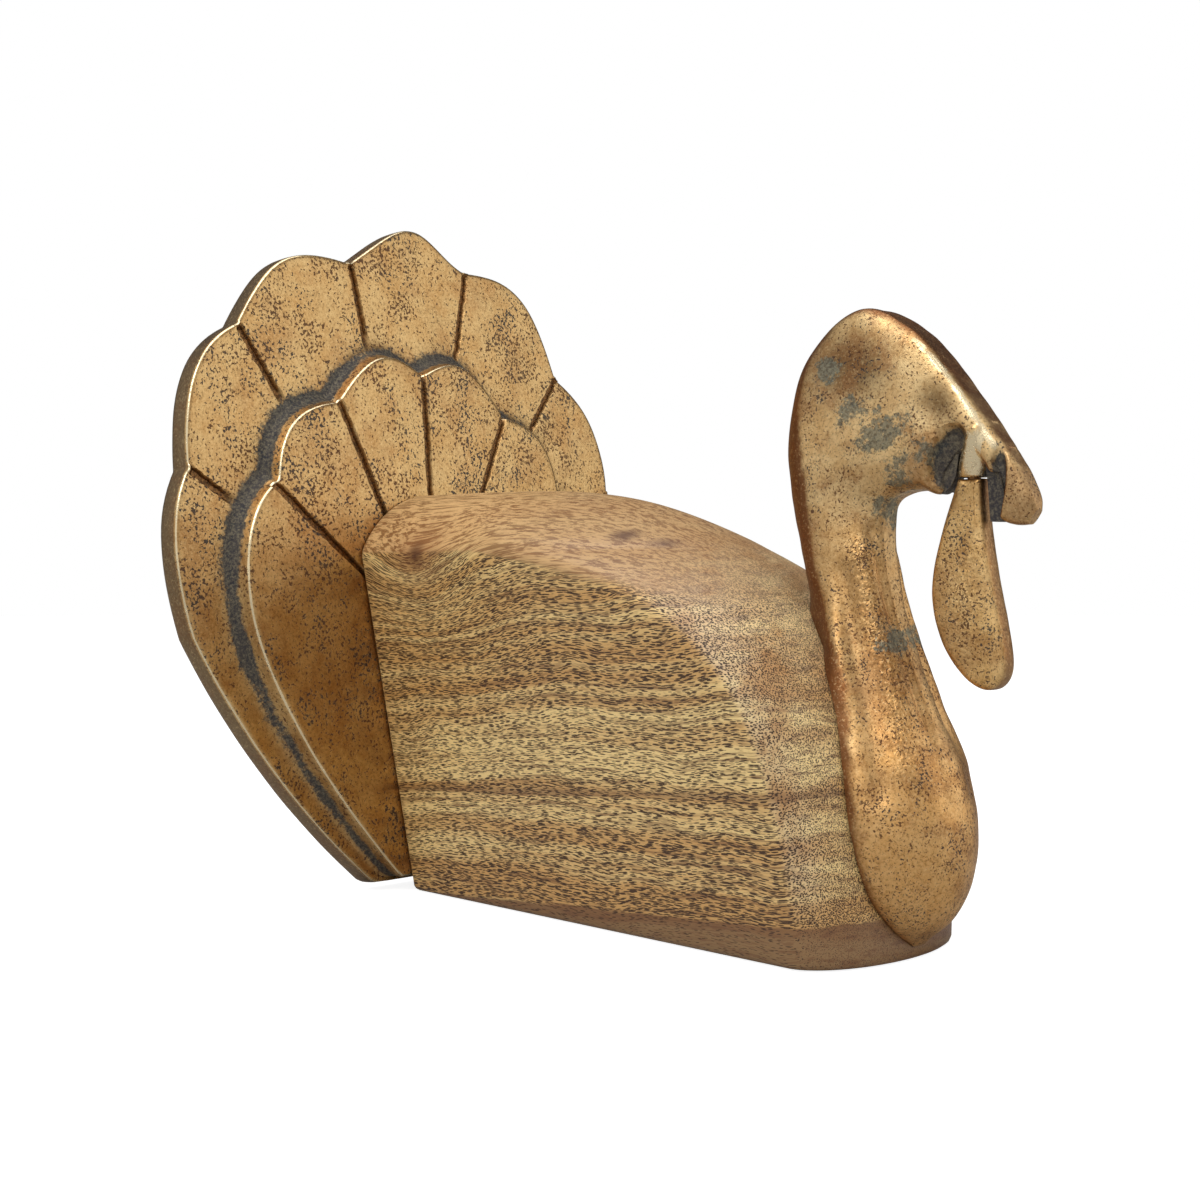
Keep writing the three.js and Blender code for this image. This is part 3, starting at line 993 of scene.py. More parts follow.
@dataclass
class TailFan:
    """The cast fan: rear feathers, front feathers over a soft hollow, and grooves that part them."""

    half_width: float = 73.0
    height: float = 163.5
    foot: float = 2.5
    focus: float = 58.0
    rear_tier: float = 6.5
    front_tier: float = 5.5
    groove_half: float = 1.15
    groove_depth: float = 1.1
    rear_grooves: tuple[float, ...] = (-58.0, -34.3, -10.3, 12.5, 36.6, 60.2)
    front_grooves: tuple[float, ...] = (-51.0, -24.8, 0.0, 24.8, 51.0)
    screw_places: tuple[Pair, ...] = ((-11.0, 66.0), (11.0, 66.0), (0.0, 22.0))
    crease: float = 60.0

    @property
    def back(self) -> float:
        """Where the flat back of the upright fan stands."""
        return -(self.front_tier + self.rear_tier)

    def outline(self, tier: Tier) -> tuple[np.ndarray, np.ndarray]:
        """A tier's outline, the casting a little uneven from side to side.

        Args:
            tier: Which row of feathers.

        Returns:
            Angles from upright in rising order, and the outline's distance from the focus at each.
        """
        w, h, foot = self.half_width, self.height, self.foot
        near = [
            [(w - 70, h + 0.2), (w - 64, h - 5.3), (w - 55.7, h - 10.5)],
            [(w - 36, h - 8), (w - 31, h - 12.5), (w - 20.8, h - 29.1)],
            [(w - 9.5, h - 34.5), (w - 5, h - 44.5), (w - 5.4, h - 63.3)],
            [(w - 0.5, h - 72), (w + 0.4, h - 83.5), (w - 4.8, h - 101.5)],
            [(w - 17, h - 125), (w - 34, h - 145), (w - 53, foot)],
        ]
        far = [
            [(w - 63, h + 1.1), (w - 59, h - 6), (w - 51.4, h - 7.9)],
            [(w - 33, h - 7), (w - 27, h - 11.5), (w - 19.2, h - 33.1)],
            [(w - 8, h - 38.5), (w - 0.5, h - 48.5), (w - 0.8, h - 64.5)],
            [(w + 1.2, h - 73.5), (w + 1.2, h - 85.5), (w - 4.5, h - 101.5)],
            [(w - 17, h - 125), (w - 34, h - 145), (w - 53, foot)],
        ]
        crest, top = 3.0, h + 0.6
        if tier is Tier.FRONT:
            near = far = [
                [(w - 62, h - 31.5), (w - 57, h - 32), (w - 45.4, h - 46.2)],
                [(w - 33, h - 48), (w - 28, h - 53), (w - 26.4, h - 65.5)],
                [(w - 15, h - 73), (w - 13, h - 93), (w - 22, h - 111)],
                [(w - 31, h - 130), (w - 44, h - 146), (w - 58, foot)],
            ]
            crest, top = 0.0, h - 37.6
        angles, reaches = [], []
        for side, start, pieces in ((-1, -crest, near), (1, crest, far)):
            half = cubic((start, top), pieces, 60)
            base = np.linspace(half[-1, 0], 0, 20)[1:]
            half = np.vstack([half, np.column_stack([base, np.full(19, foot)])])
            up = half[:, 1] - self.focus
            angle = np.maximum.accumulate(np.degrees(np.arctan2(half[:, 0], up)))
            angles.append((side * angle)[::side])
            reaches.append(np.hypot(half[:, 0], up)[::side])
        return np.concatenate(angles), np.concatenate(reaches)

    def columns(self) -> tuple[np.ndarray, np.ndarray, np.ndarray]:
        """Where the mesh's spokes run.

        Returns:
            For each spoke its angle in degrees, the sideways shift in millimetres that keeps it beside a
            groove, and the index of that groove or -1.
        """
        grooves = sorted(self.rear_grooves + self.front_grooves)
        beside = [-1.9, -1.4, -1.12, -0.9, -0.62, -0.25, 0.25, 0.62, 0.9, 1.12, 1.4, 1.9]
        angle, shift, owner = [], [], []
        for k, groove in enumerate(grooves):
            angle += [groove] * len(beside)
            shift += beside
            owner += [k] * len(beside)
            last = k == len(grooves) - 1
            ahead = grooves[0] + 360 if last else grooves[k + 1]
            count = 150 if last else 15
            for share in np.linspace(0, 1, count + 2)[1:-1]:
                angle.append(groove + (ahead - groove) * share)
                shift.append(1.9 * (1 - 2 * share))
                owner.append(-1)
        return np.array(angle), np.array(shift), np.array(owner)

    def rings(self) -> list[Ring]:
        """The mesh's rings: out over the front face, over both tiers' edges, and in over the back.

        Returns:
            The rings in order.
        """
        face, back = -self.front_tier, self.back
        made = [Ring(0.0, front=s, plain=-2.5 * s, front_groove=1.0) for s in np.linspace(0.04, 1, 34)]
        wall = [(-1.1, -0.03, 0.0, 0.0), (-0.5, -0.12, 0.2, 0.0), (-0.15, -0.36, 1.0, 0.0)]
        wall += [(0.06, -0.8, 0.25, 0.0), (0.25, -1.5, 0.0, 0.2)]
        for out, depth, rub, dark in wall:
            fade = 1.0 if depth > -1 else 0.5
            made.append(Ring(depth, front=1, plain=out, front_groove=fade, edge=rub, hollow_and_shadow=dark, shade=dark))
        fillet = [(0.6, -2.5, 0.4), (1.0, -3.4, 0.75), (1.6, -4.2, 1.0), (2.5, -4.85, 0.8)]
        fillet += [(3.7, -5.25, 0.46), (5.2, -5.45, 0.27), (7.0, -5.5, 0.16)]
        for out, depth, dark in fillet:
            fade = float(smooth_step(2.5, 6.0, np.array(out)))
            rub = 0.3 if 2 < out < 3 else 0.0
            shade = 0.5 * dark
            made.append(Ring(depth, front=1, room=out, rear_groove=fade, edge=rub, hollow_and_shadow=dark, shade=shade))
        for s in np.linspace(0.0, 1, 24)[1:]:
            room = 7.0 * (1 - s) - 1.6 * s
            bleed = 0.16 * (1 - s) ** 3
            made.append(Ring(face, front=1 - s, rear=s, room=room, rear_groove=1.0, hollow_and_shadow=bleed))
        rim = [(-1.0, 0.03, 0.0, 0.5), (-0.5, 0.12, 0.2, -0.4)]
        rim += [(-0.15, 0.36, 1.0, -0.5), (0.0, 0.8, 0.25, -0.3)]
        for out, drop, rub, dip in rim:
            made.append(Ring(face - drop, rear=1, room=out, rear_groove=dip, edge=rub))
        side = [(0.03, -6.7), (0.08, -7.6), (0.1, -9.0), (0.05, -10.6), (-0.05, back + 0.7)]
        made += [Ring(depth, rear=1, plain=out, band_and_shade=1.0) for out, depth in side]
        made.append(Ring(back + 0.2, rear=1, plain=-0.35, band_and_shade=1.0, edge=0.3))
        made.append(Ring(back, rear=1, plain=-1.0, band_and_shade=0.4))
        made += [Ring(back, rear=s, plain=-s) for s in np.linspace(1, 0.04, 20)[1:]]
        return made

    def radius(self, ring: Ring, turn: np.ndarray, lines: dict[Tier, tuple]) -> np.ndarray:
        """Distance of a ring from the focus.

        Args:
            ring: The ring.
            turn: Angles in degrees from upright.
            lines: Both tiers' outlines.

        Returns:
            The distance at each angle.
        """
        wrapped = (turn + 180) % 360 - 180
        rear = np.interp(wrapped, *lines[Tier.REAR], period=360)
        front = np.minimum(np.interp(wrapped, *lines[Tier.FRONT], period=360), rear - 1.2)
        room = np.clip((rear - front - 0.9) / 9.0, 0.03, 1.0)
        return ring.front * front + ring.rear * rear + ring.room * room + ring.plain

    def solid(self) -> tuple[bpy.types.Object, dict[str, np.ndarray]]:
        """The fan before its screw holes.

        Returns:
            The object, and its marks by name.
        """
        angle, shift, owner = self.columns()
        grooves = sorted(self.rear_grooves + self.front_grooves)
        in_front = np.array([k >= 0 and grooves[k] in self.front_grooves for k in owner])
        behind = (owner >= 0) & ~in_front
        valley = smooth_step(self.groove_half, 0.5 * self.groove_half, np.abs(shift))
        lines = {tier: self.outline(tier) for tier in Tier}
        rows: list[np.ndarray] = []
        marks: dict[str, list] = {key: [] for key in ("edge", "hollow_and_shadow", "groove", "band_and_shade", "shade")}
        for ring in self.rings():
            turn = angle + np.degrees(shift / 90)
            for _ in range(3):
                distance = np.maximum(self.radius(ring, turn, lines), 0.5)
                wander = 0.1 * np.sin(1.9 * distance + 2.3 * owner) + 0.07 * np.sin(4.3 * distance + owner)
                beside = shift + np.where(owner >= 0, wander, 0.0)
                turn = angle + np.degrees(beside / np.maximum(distance, 42.0))
            flat = np.radians(turn)
            y, z = distance * np.sin(flat), self.focus + distance * np.cos(flat)
            begun = smooth_step(22, 34, self.radius(ring, angle, lines))
            carve = valley * (ring.front_groove * in_front * begun + ring.rear_groove * behind)
            x = ring.depth - carve * self.groove_depth
            x = x + 0.12 * ripple(np.column_stack([x, y, z]), 31.0, 0.4)
            rows.append(np.column_stack([x, y, z]))
            marks["groove"].append(1.4 * np.abs(carve))
            for key in ("edge", "hollow_and_shadow", "band_and_shade", "shade"):
                marks[key].append(np.full(len(y), getattr(ring, key)))
        ends = (np.array([x, 0.0, self.focus]) for x in (0.0, self.back))
        points, faces = pointed(rows, *ends)
        kept = {key: np.concatenate([*strengths, np.zeros(2)]) for key, strengths in marks.items()}
        return new_piece("feather_fan", self.leaned(points), faces), kept

    def leaned(self, places: np.ndarray) -> np.ndarray:
        """Places of the upright fan set to its lean.

        Args:
            places: Points, one to a row.

        Returns:
            The leaning points.
        """
        x, y, z = places.T
        cos, sin = math.cos(TAIL_LEAN), math.sin(TAIL_LEAN)
        return np.column_stack([x * cos - z * sin, y, x * sin + z * cos])

    def countersinks(self) -> bpy.types.Object:
        """Cutter for the screw holes in the fan's back.

        Returns:
            One object with a cutter for each screw.
        """
        profile = [(self.back - 1, 4.3), (self.back + 0.4, 4.3), (self.back + 2.8, 2.3), (1.0, 2.3)]
        turn = np.linspace(0, 2 * math.pi, 33)[:-1]
        ring = np.column_stack([np.zeros(32), np.cos(turn), np.sin(turn)])
        points: list[np.ndarray] = []
        faces: list[Face] = []
        for across, up in self.screw_places:
            first = sum(len(p) for p in points)
            hole, sides = blunt([ring * r + np.array([x, across, up]) for x, r in profile])
            faces += [tuple(first + k for k in face) for face in sides]
            points.append(hole)
        return new_piece("countersinks", self.leaned(np.vstack(points)), faces)

    def build(self, finish: bpy.types.Material) -> bpy.types.Object:
        """The dressed fan.

        Args:
            finish: Its material.

        Returns:
            The piece.
        """
        piece, marks = self.solid()
        for key, values in marks.items():
            mark(piece, key, values)
        meet(piece, self.countersinks(), Join.TAKE, Solver.MANIFOLD)
        return dress(piece, finish, self.crease)


@dataclass(frozen=True)
class Recess:
    """A leaning recess beside the lug, steep at its edge."""

    x: float
    z: float
    wide: float
    tall: float
    lean: float
    depth: float

    def share(self, points: np.ndarray) -> np.ndarray:
        """How far each point lies inside, from 0 to 1.

        Args:
            points: Places, one to a row.

        Returns:
            The shares.
        """
        up = points[:, 2] - self.z
        across = points[:, 0] - self.x - self.lean * up
        return smooth_step(1.15, 0.7, np.hypot(across / self.wide, up / self.tall))


@dataclass
class HeadAndNeck:
    """The casting in front: a broad breast, a fluted neck, the head, the beak and a lug."""

    head_height: float = 128.3
    beak_reach: float = 26.0
    lug_x: float = 145.4
    lug_bottom: float = 94.0
    rings: int = 260
    around: int = 56
    crease: float = 42.0
    recesses: tuple[Recess, ...] = (
        Recess(142.0, 97.6, 3.6, 6.2, 0.32, 2.6),
        Recess(152.0, 92.5, 1.9, 6.4, 0.12, 1.6),
    )
    rough_run: tuple[Triple, ...] = (
        (127.3, 6.7, 67.5),
        (131.6, 6.8, 56.9),
        (134.9, 8.4, 47.5),
        (137.7, 10, 38),
    )
    stains: tuple[Triple, ...] = (
        (131.2, 105.4, 4.5),
        (121.2, 107.9, 4.5),
        (127.4, 101.7, 4.5),
        (115.8, 116.3, 3.5),
        (131.9, 95.8, 4.0),
        (139.0, 99.0, 3.0),
        (127.0, 88.0, 3.0),
        (131.0, 62.6, 3.0),
        (128.2, 32.0, 3.0),
        (136.0, 60.0, 2.5),
    )

    def sections(self) -> np.ndarray:
        """Sections of the casting from breast to beak.

        Returns:
            Back or top point, front or under point and half width of each.
        """
        x, z, beak = BODY_LENGTH, self.head_height, BODY_LENGTH + self.beak_reach
        return np.array([
            [x - 0.6, 2.2, x + 1.4, 3.4, 1.8],
            [x - 8, 7, x + 6.5, 8, 9.2],
            [x - 15, 15, x + 10, 15, 14.8],
            [x - 19, 26, x + 11, 26, 17.4],
            [x - 23, 38, x + 8.6, 38, 16.8],
            [x - 27.4, 50, x + 3.6, 49, 14.8],
            [x - 26.6, 61, x - 1, 60, 12.0],
            [x - 23.4, z - 58, x - 4.3, z - 58.8, 9.4],
            [x - 25.4, z - 47, x - 6.3, z - 48.3, 8.2],
            [x - 28, z - 36, x - 6.3, z - 41.3, 7.5],
            [x - 28.7, z - 24, x - 5.4, z - 38.5, 7.5],
            [x - 23.2, z - 8.2, x - 2, z - 36.7, 7.5],
            [x - 10.6, z - 0.1, x + 2, z - 36.3, 7],
            [beak - 25.7, z - 4.9, x + 6.6, z - 37.2, 6.2],
            [beak - 17.6, z - 13.2, x + 13.3, z - 30.3, 5.2],
            [beak - 8.9, z - 24.4, x + 17.8, z - 34.8, 4.1],
            [beak - 2.6, z - 33.5, x + 18.8, z - 42.2, 3.4],
            [beak - 0.2, z - 38.6, beak - 4.4, z - 43.6, 2.6],
            [beak + 0.3, z - 40.8, beak - 1.6, z - 43.6, 1.3],
        ])

    def profile(self, place: float) -> np.ndarray:
        """Half of a section's outline, from back or top to front or under.

        Args:
            place: Number of the section, with its share to the next.

        Returns:
            Share of the way through the section and share of the half width, for each point.
        """
        breast = [(0, 0), (0, 0.5), (0.05, 0.85), (0.25, 0.97), (0.58, 1)]
        breast += [(0.78, 0.8), (0.92, 0.48), (0.985, 0.2), (1, 0)]
        root = [(0, 0), (0.02, 0.25), (0.12, 0.42), (0.36, 0.68), (0.58, 1)]
        root += [(0.78, 0.8), (0.93, 0.5), (0.99, 0.25), (1, 0)]
        neck = [(0, 0), (0, 0.4), (0.04, 0.6), (0.22, 0.96), (0.42, 1)]
        neck += [(0.72, 0.84), (0.93, 0.56), (0.995, 0.28), (1, 0)]
        head = [(0, 0), (0, 0.5), (0.012, 0.64), (0.1, 0.86), (0.35, 1)]
        head += [(0.7, 0.98), (0.93, 0.74), (0.995, 0.38), (1, 0)]
        kinds = [np.array(k, float) for k in (breast, root, neck, head)]
        knots = np.interp(place, [0, 4.7, 6, 7.5, 9.5, 11.5, 17], [0, 0, 1, 2, 2, 3, 3])
        low = min(int(knots), 2)
        corners = kinds[low] + (kinds[low + 1] - kinds[low]) * (knots - low)
        return even_steps(chord_spline(corners, 200), self.around)

    def loft(self) -> tuple[np.ndarray, list[Face]]:
        """The casting before its relief and before it is cut to the wood.

        Returns:
            Its points and faces.
        """
        table = self.sections()
        outer = chord_spline(table[:, [0, 4, 1]], self.rings)
        inner = chord_spline(table[:, [2, 4, 3]], self.rings)
        rings = []
        for k in range(self.rings):
            half = self.profile(k / (self.rings - 1) * (len(table) - 1))
            t, wide = half[:, 0], half[:, 1] * outer[k, 1]
            x = outer[k, 0] + (inner[k, 0] - outer[k, 0]) * t
            z = outer[k, 2] + (inner[k, 2] - outer[k, 2]) * t
            near = np.column_stack([x, -wide, z])
            far = near[1:-1][::-1] * np.array([1.0, -1.0, 1.0])
            rings.append(np.vstack([near, far]))
        return pointed(rings, rings[0].mean(0), rings[-1].mean(0))

    def relief(self, points: np.ndarray) -> np.ndarray:
        """How far the surface stands out or sinks: flutes, the raised rough zone, dents and recesses.

        Args:
            points: Places, one to a row.

        Returns:
            Millimetres outwards at each point.
        """
        behind = [(121, 8.4, 76), (123, 9.6, 67.5), (125.9, 11.2, 58.8), (131.4, 13.8, 45.7), (134, 15.4, 33)]
        ahead = [(125.3, 4.6, 84), (128.4, 3.6, 70), (131.6, 3.6, 60), (135.6, 3.4, 50), (141, 4.2, 32)]
        out = -0.85 * bell(near_path(points, behind), 1.9)
        out -= 0.9 * bell(near_path(points, ahead), 1.2)
        out += 0.45 * bell(near_path(points, [(124, 6.4, 78.3), *self.rough_run]), 2.6)
        for x, z, wide, tall, depth in ((120, 116.5, 8.0, 7.0, 0.8), (139.6, 107.6, 3.6, 3.6, 0.9)):
            out -= depth * bell(np.hypot((points[:, 0] - x) / wide, (points[:, 2] - z) / tall), 1.0)
        out -= sum(recess.depth * recess.share(points) for recess in self.recesses)
        return out + 0.12 * ripple(points, 17.0, 1.3)

    def lug(self) -> bpy.types.Object:
        """The short tapered lug that carries the wattle.

        Returns:
            The object.
        """
        turn = np.linspace(0, 2 * math.pi, 41)[:-1]
        stations = [(94.0, 2.7, 2.6, 0.0), (94.3, 3.1, 3.0, 0.0), (96.5, 3.2, 3.6, 0.5), (99, 3.0, 4.4, 1.2)]
        stations += [(101, 2.8, 4.9, 1.8), (103, 2.4, 5.0, 2.4), (104.5, 1.6, 3.6, 2.8)]
        rings = [
            np.column_stack([self.lug_x + lead + r * np.cos(turn), deep * np.sin(turn), np.full(40, z)])
            for z, r, deep, lead in stations
        ]
        return new_piece("lug", *blunt(rings))

    def shadow_fin(self, edge: list[Pair], half: float) -> bpy.types.Object:
        """A thin flat sheet in the middle plane, which the casting's marks paint dark as painted shadow.

        Args:
            edge: Corners of its closed edge.
            half: Half of its thickness.

        Returns:
            The object.
        """
        rings = [np.array([(x, y, z) for x, z in edge]) for y in (-half, half)]
        return new_piece("shadow_fin", *blunt(rings))

    def build(self, finish: bpy.types.Material, body: WoodBody) -> bpy.types.Object:
        """The dressed casting, cut to sit on the wood.

        Args:
            finish: Its material.
            body: The wood it lies on.

        Returns:
            The piece.
        """
        plain = new_piece("plain_neck", *self.loft())
        even = millimetres(plain)
        shaped = even + vertex_rows(plain, "normal") * self.relief(even)[:, None]
        faces = [tuple(p.vertices) for p in plain.data.polygons]
        bpy.data.objects.remove(plain)
        piece = new_piece("head_casting", shaped, faces)
        meet(piece, self.lug(), Join.ADD)
        # Two thin sheets fill the gaps in front of and behind the lug. Their dark colour is painted shadow.
        before = [(148.0, 99.5), (153.5, 99.5), (155.5, 88.0), (152.5, 85.3), (149.6, 85.4), (149.0, 93.0)]
        behind = [(139.2, 98.5), (143.0, 98.5), (142.4, 94.4), (141.3, 92.4), (139.9, 91.3), (138.6, 92.0)]
        meet(piece, self.shadow_fin(before, 1.3), Join.ADD)
        meet(piece, self.shadow_fin(behind, 1.7), Join.ADD)
        meet(piece, body.solid("wood_cutter", FIT_GAP), Join.TAKE)
        self.marks(piece)
        return dress(piece, finish, self.crease)

    def marks(self, piece: bpy.types.Object) -> None:
        """Keep where the casting takes its dark band (painted shade), stains, painted shade, painted shadow
        beside the lug, rough grain and rubbed edges.

        Args:
            piece: The casting.
        """
        points = millimetres(piece)
        x, y, z = points.T
        lean = 0.26 * (z - self.lug_bottom)
        lug = smooth_step(3.3, 2.3, np.abs(x - self.lug_x - lean))
        lug *= smooth_step(105, 101, z) * smooth_step(93, 94, z) * (np.abs(y) > 1.5)
        nx, _, nz = vertex_rows(piece, "normal").T
        heights = [8, 16, 28, 39.9, 53.1, 58.8, 67.5, 78.4, 90.5, 110.9]
        rim = np.interp(z, heights, [132.4, 131.5, 130, 128.1, 125.2, 122.5, 117.8, 114.1, 111.7, 108.3])
        # Painted shade: faces turned back, the head's up-facing top, and the rim where the casting meets the
        # wood.
        band_and_shade = np.maximum(smooth_step(0.3, 0.45, -nx), smooth_step(0.45, 0.65, nz) * smooth_step(95, 100, z))
        band_and_shade = np.maximum(band_and_shade, smooth_step(0.4, -0.3, x - rim) * smooth_step(4, 12, z))
        mark(piece, "band_and_shade", band_and_shade * (1 - lug))
        rough = near_path(points, [(124, 6.4, 80), *self.rough_run])
        mark(piece, "grain", bell(rough, 2.8))
        warmth = 0.5 + 0.6 * bell(rough, 5.5) + 0.4 * smooth_step(48, 30, z)
        mark(piece, "warm", smooth_step(98, 72, z) * warmth)
        patina = np.zeros(len(points))
        for stain_x, stain_z, size in self.stains:
            patina = np.maximum(patina, 0.74 * bell(np.hypot(x - stain_x, z - stain_z), 1.5 * size))
        mark(piece, "patina", patina * (1 - lug) * (1 - band_and_shade))
        dents = 1.25 * bell(np.hypot((x - 120.5) / 10, (z - 116) / 6.5), 1.0)
        dents += bell(np.hypot(x - 140.2, z - 107.4), 4.0)
        calm = 0.34 * smooth_step(44, 58, z) * smooth_step(102, 90, z)
        mark(piece, "shade", np.maximum(dents, calm) * (1 - lug))
        hollow_and_shadow = np.maximum(*(recess.share(points) for recess in self.recesses))
        # Painted shadow: the sheets beside the lug take the full dark colour.
        painted_sheet_shadow = (np.abs(y) < 1.75) & (x > 138.5) & (x < 153) & (z > 84) & (z < 99) & (lug < 0.5)
        mark(piece, "hollow_and_shadow", np.maximum(hollow_and_shadow * (1 - lug), painted_sheet_shadow))
        ridge = [(128.6, 2.8, 125.4), (135.9, 4.2, 119.4), (142.7, 4.4, 113)]
        ridge += [(147, 4.4, 106.5), (151.9, 3.7, 99.3)]
        mark(piece, "edge", np.maximum(0.7 * bell(near_path(points, ridge), 1.4), 0.75 * lug))
        # Painted shade: a dark line along the flute behind the neck.
        shaded_flute = [(121, 8.6, 75), (125.9, 11.2, 58.8), (131.4, 13.8, 45.7), (133.5, 15, 36)]
        mark(piece, "groove", 0.6 * bell(near_path(points, shaded_flute), 1.3))


@dataclass
class Wattle:
    """The drop that hangs from the lug, a crowned teardrop plate with eased edges."""

    lug_x: float = 145.4
    top: float = 93.7
    drop: float = 40.3
    half_thick: float = 2.6
    peg_radius: float = 1.3
    peg_length: float = 4.2
    crease: float = 50.0

    def outline(self) -> np.ndarray:
        """Closed outline in the middle plane, from the top's back corner.

        Returns:
            The points as distance along the figure and height.
        """
        x, foot = self.lug_x, self.top - self.drop
        pieces = [
            [(x - 5, foot + 33), (x - 9, foot + 24), (x - 8.2, foot + 16.6)],
            [(x - 7.6, foot + 8.6), (x - 1.4, foot + 0.2), (x + 3.6, foot)],
            [(x + 7, foot), (x + 8.2, foot + 3.6), (x + 7.4, foot + 8.2)],
            [(x + 6.2, foot + 16.6), (x + 2.6, foot + 26.6), (x + 2.6, self.top)],
        ]
        sides = cubic((x - 2.6, self.top), pieces, 40)
        lid = np.column_stack([np.linspace(x + 2.6, x - 2.6, 16)[1:-1], np.full(14, self.top)])
        return even_steps(np.vstack([sides, lid, sides[:1]]), 181)[:-1]

    def plate(self) -> bpy.types.Object:
        """The drop without its peg.

        Returns:
            The object.
        """
        rim = self.outline()
        foot = self.top - self.drop
        spine_z = np.clip(rim[:, 1], foot + 7.5, self.top - 2.2)
        bends = [self.lug_x + 1.6, self.lug_x - 0.8, self.lug_x]
        spine_x = np.interp(spine_z, [foot + 7.5, foot + 18, self.top], bends)
        spine = np.column_stack([spine_x, spine_z])
        reach = np.linalg.norm(spine - rim, axis=1)
        steps = [(0.0, 0.25), (0.06, 0.55), (0.3, 0.8), (0.7, 0.92), (1.3, 0.985)]
        half = [(np.minimum(inset / reach, 0.9), thick) for inset, thick in steps]
        least = half[-1][0]
        half += [(np.maximum(share, least), 1.0 + 0.06 * share) for share in (0.4, 0.6, 0.8, 1.0)]
        rows = []
        for side, run in ((-1, half[::-1]), (1, half)):
            for share, thick in run:
                flat = rim + (spine - rim) * share[:, None]
                across = np.full(len(rim), side * thick * self.half_thick)
                rows.append(np.column_stack([flat[:, 0], across, flat[:, 1]]))
        points = np.vstack(rows)
        points[:, 1] += 0.1 * ripple(points, 13.0, 2.2)
        return new_piece("wattle_drop", points, ring_faces(len(rows), len(rim)))

    def build(self, finish: bpy.types.Material) -> bpy.types.Object:
        """The dressed drop with its peg.

        Args:
            finish: Its material.

        Returns:
            The piece.
        """
        piece = self.plate()
        turn = np.linspace(0, 2 * math.pi, 25)[:-1]
        across, through = self.peg_radius * np.cos(turn), self.peg_radius * np.sin(turn)
        ends = (self.top - 3, self.top + self.peg_length)
        peg = [np.column_stack([self.lug_x + across, through, np.full(24, z)]) for z in ends]
        meet(piece, new_piece("peg", *blunt(peg)), Join.ADD)
        x, y, z = millimetres(piece).T
        side = np.abs(y) / self.half_thick
        mark(piece, "band_and_shade", 0.75 * smooth_step(0.9, 0.45, side))
        mark(piece, "grain", 0.7 * bell(np.hypot((x - self.lug_x + 0.6) / 4.2, (z - 72) / 13), 1.0))
        mark(piece, "shade", 0.35 * bell(z - 92, 4.0))
        mark(piece, "edge", 0.4 * bell(side - 0.93, 0.06))
        mark(piece, "hollow_and_shadow", 0.4 * bell(z - self.top, 1.0))
        mark(piece, "warm", np.full(len(z), 0.35))
        return dress(piece, finish, self.crease)


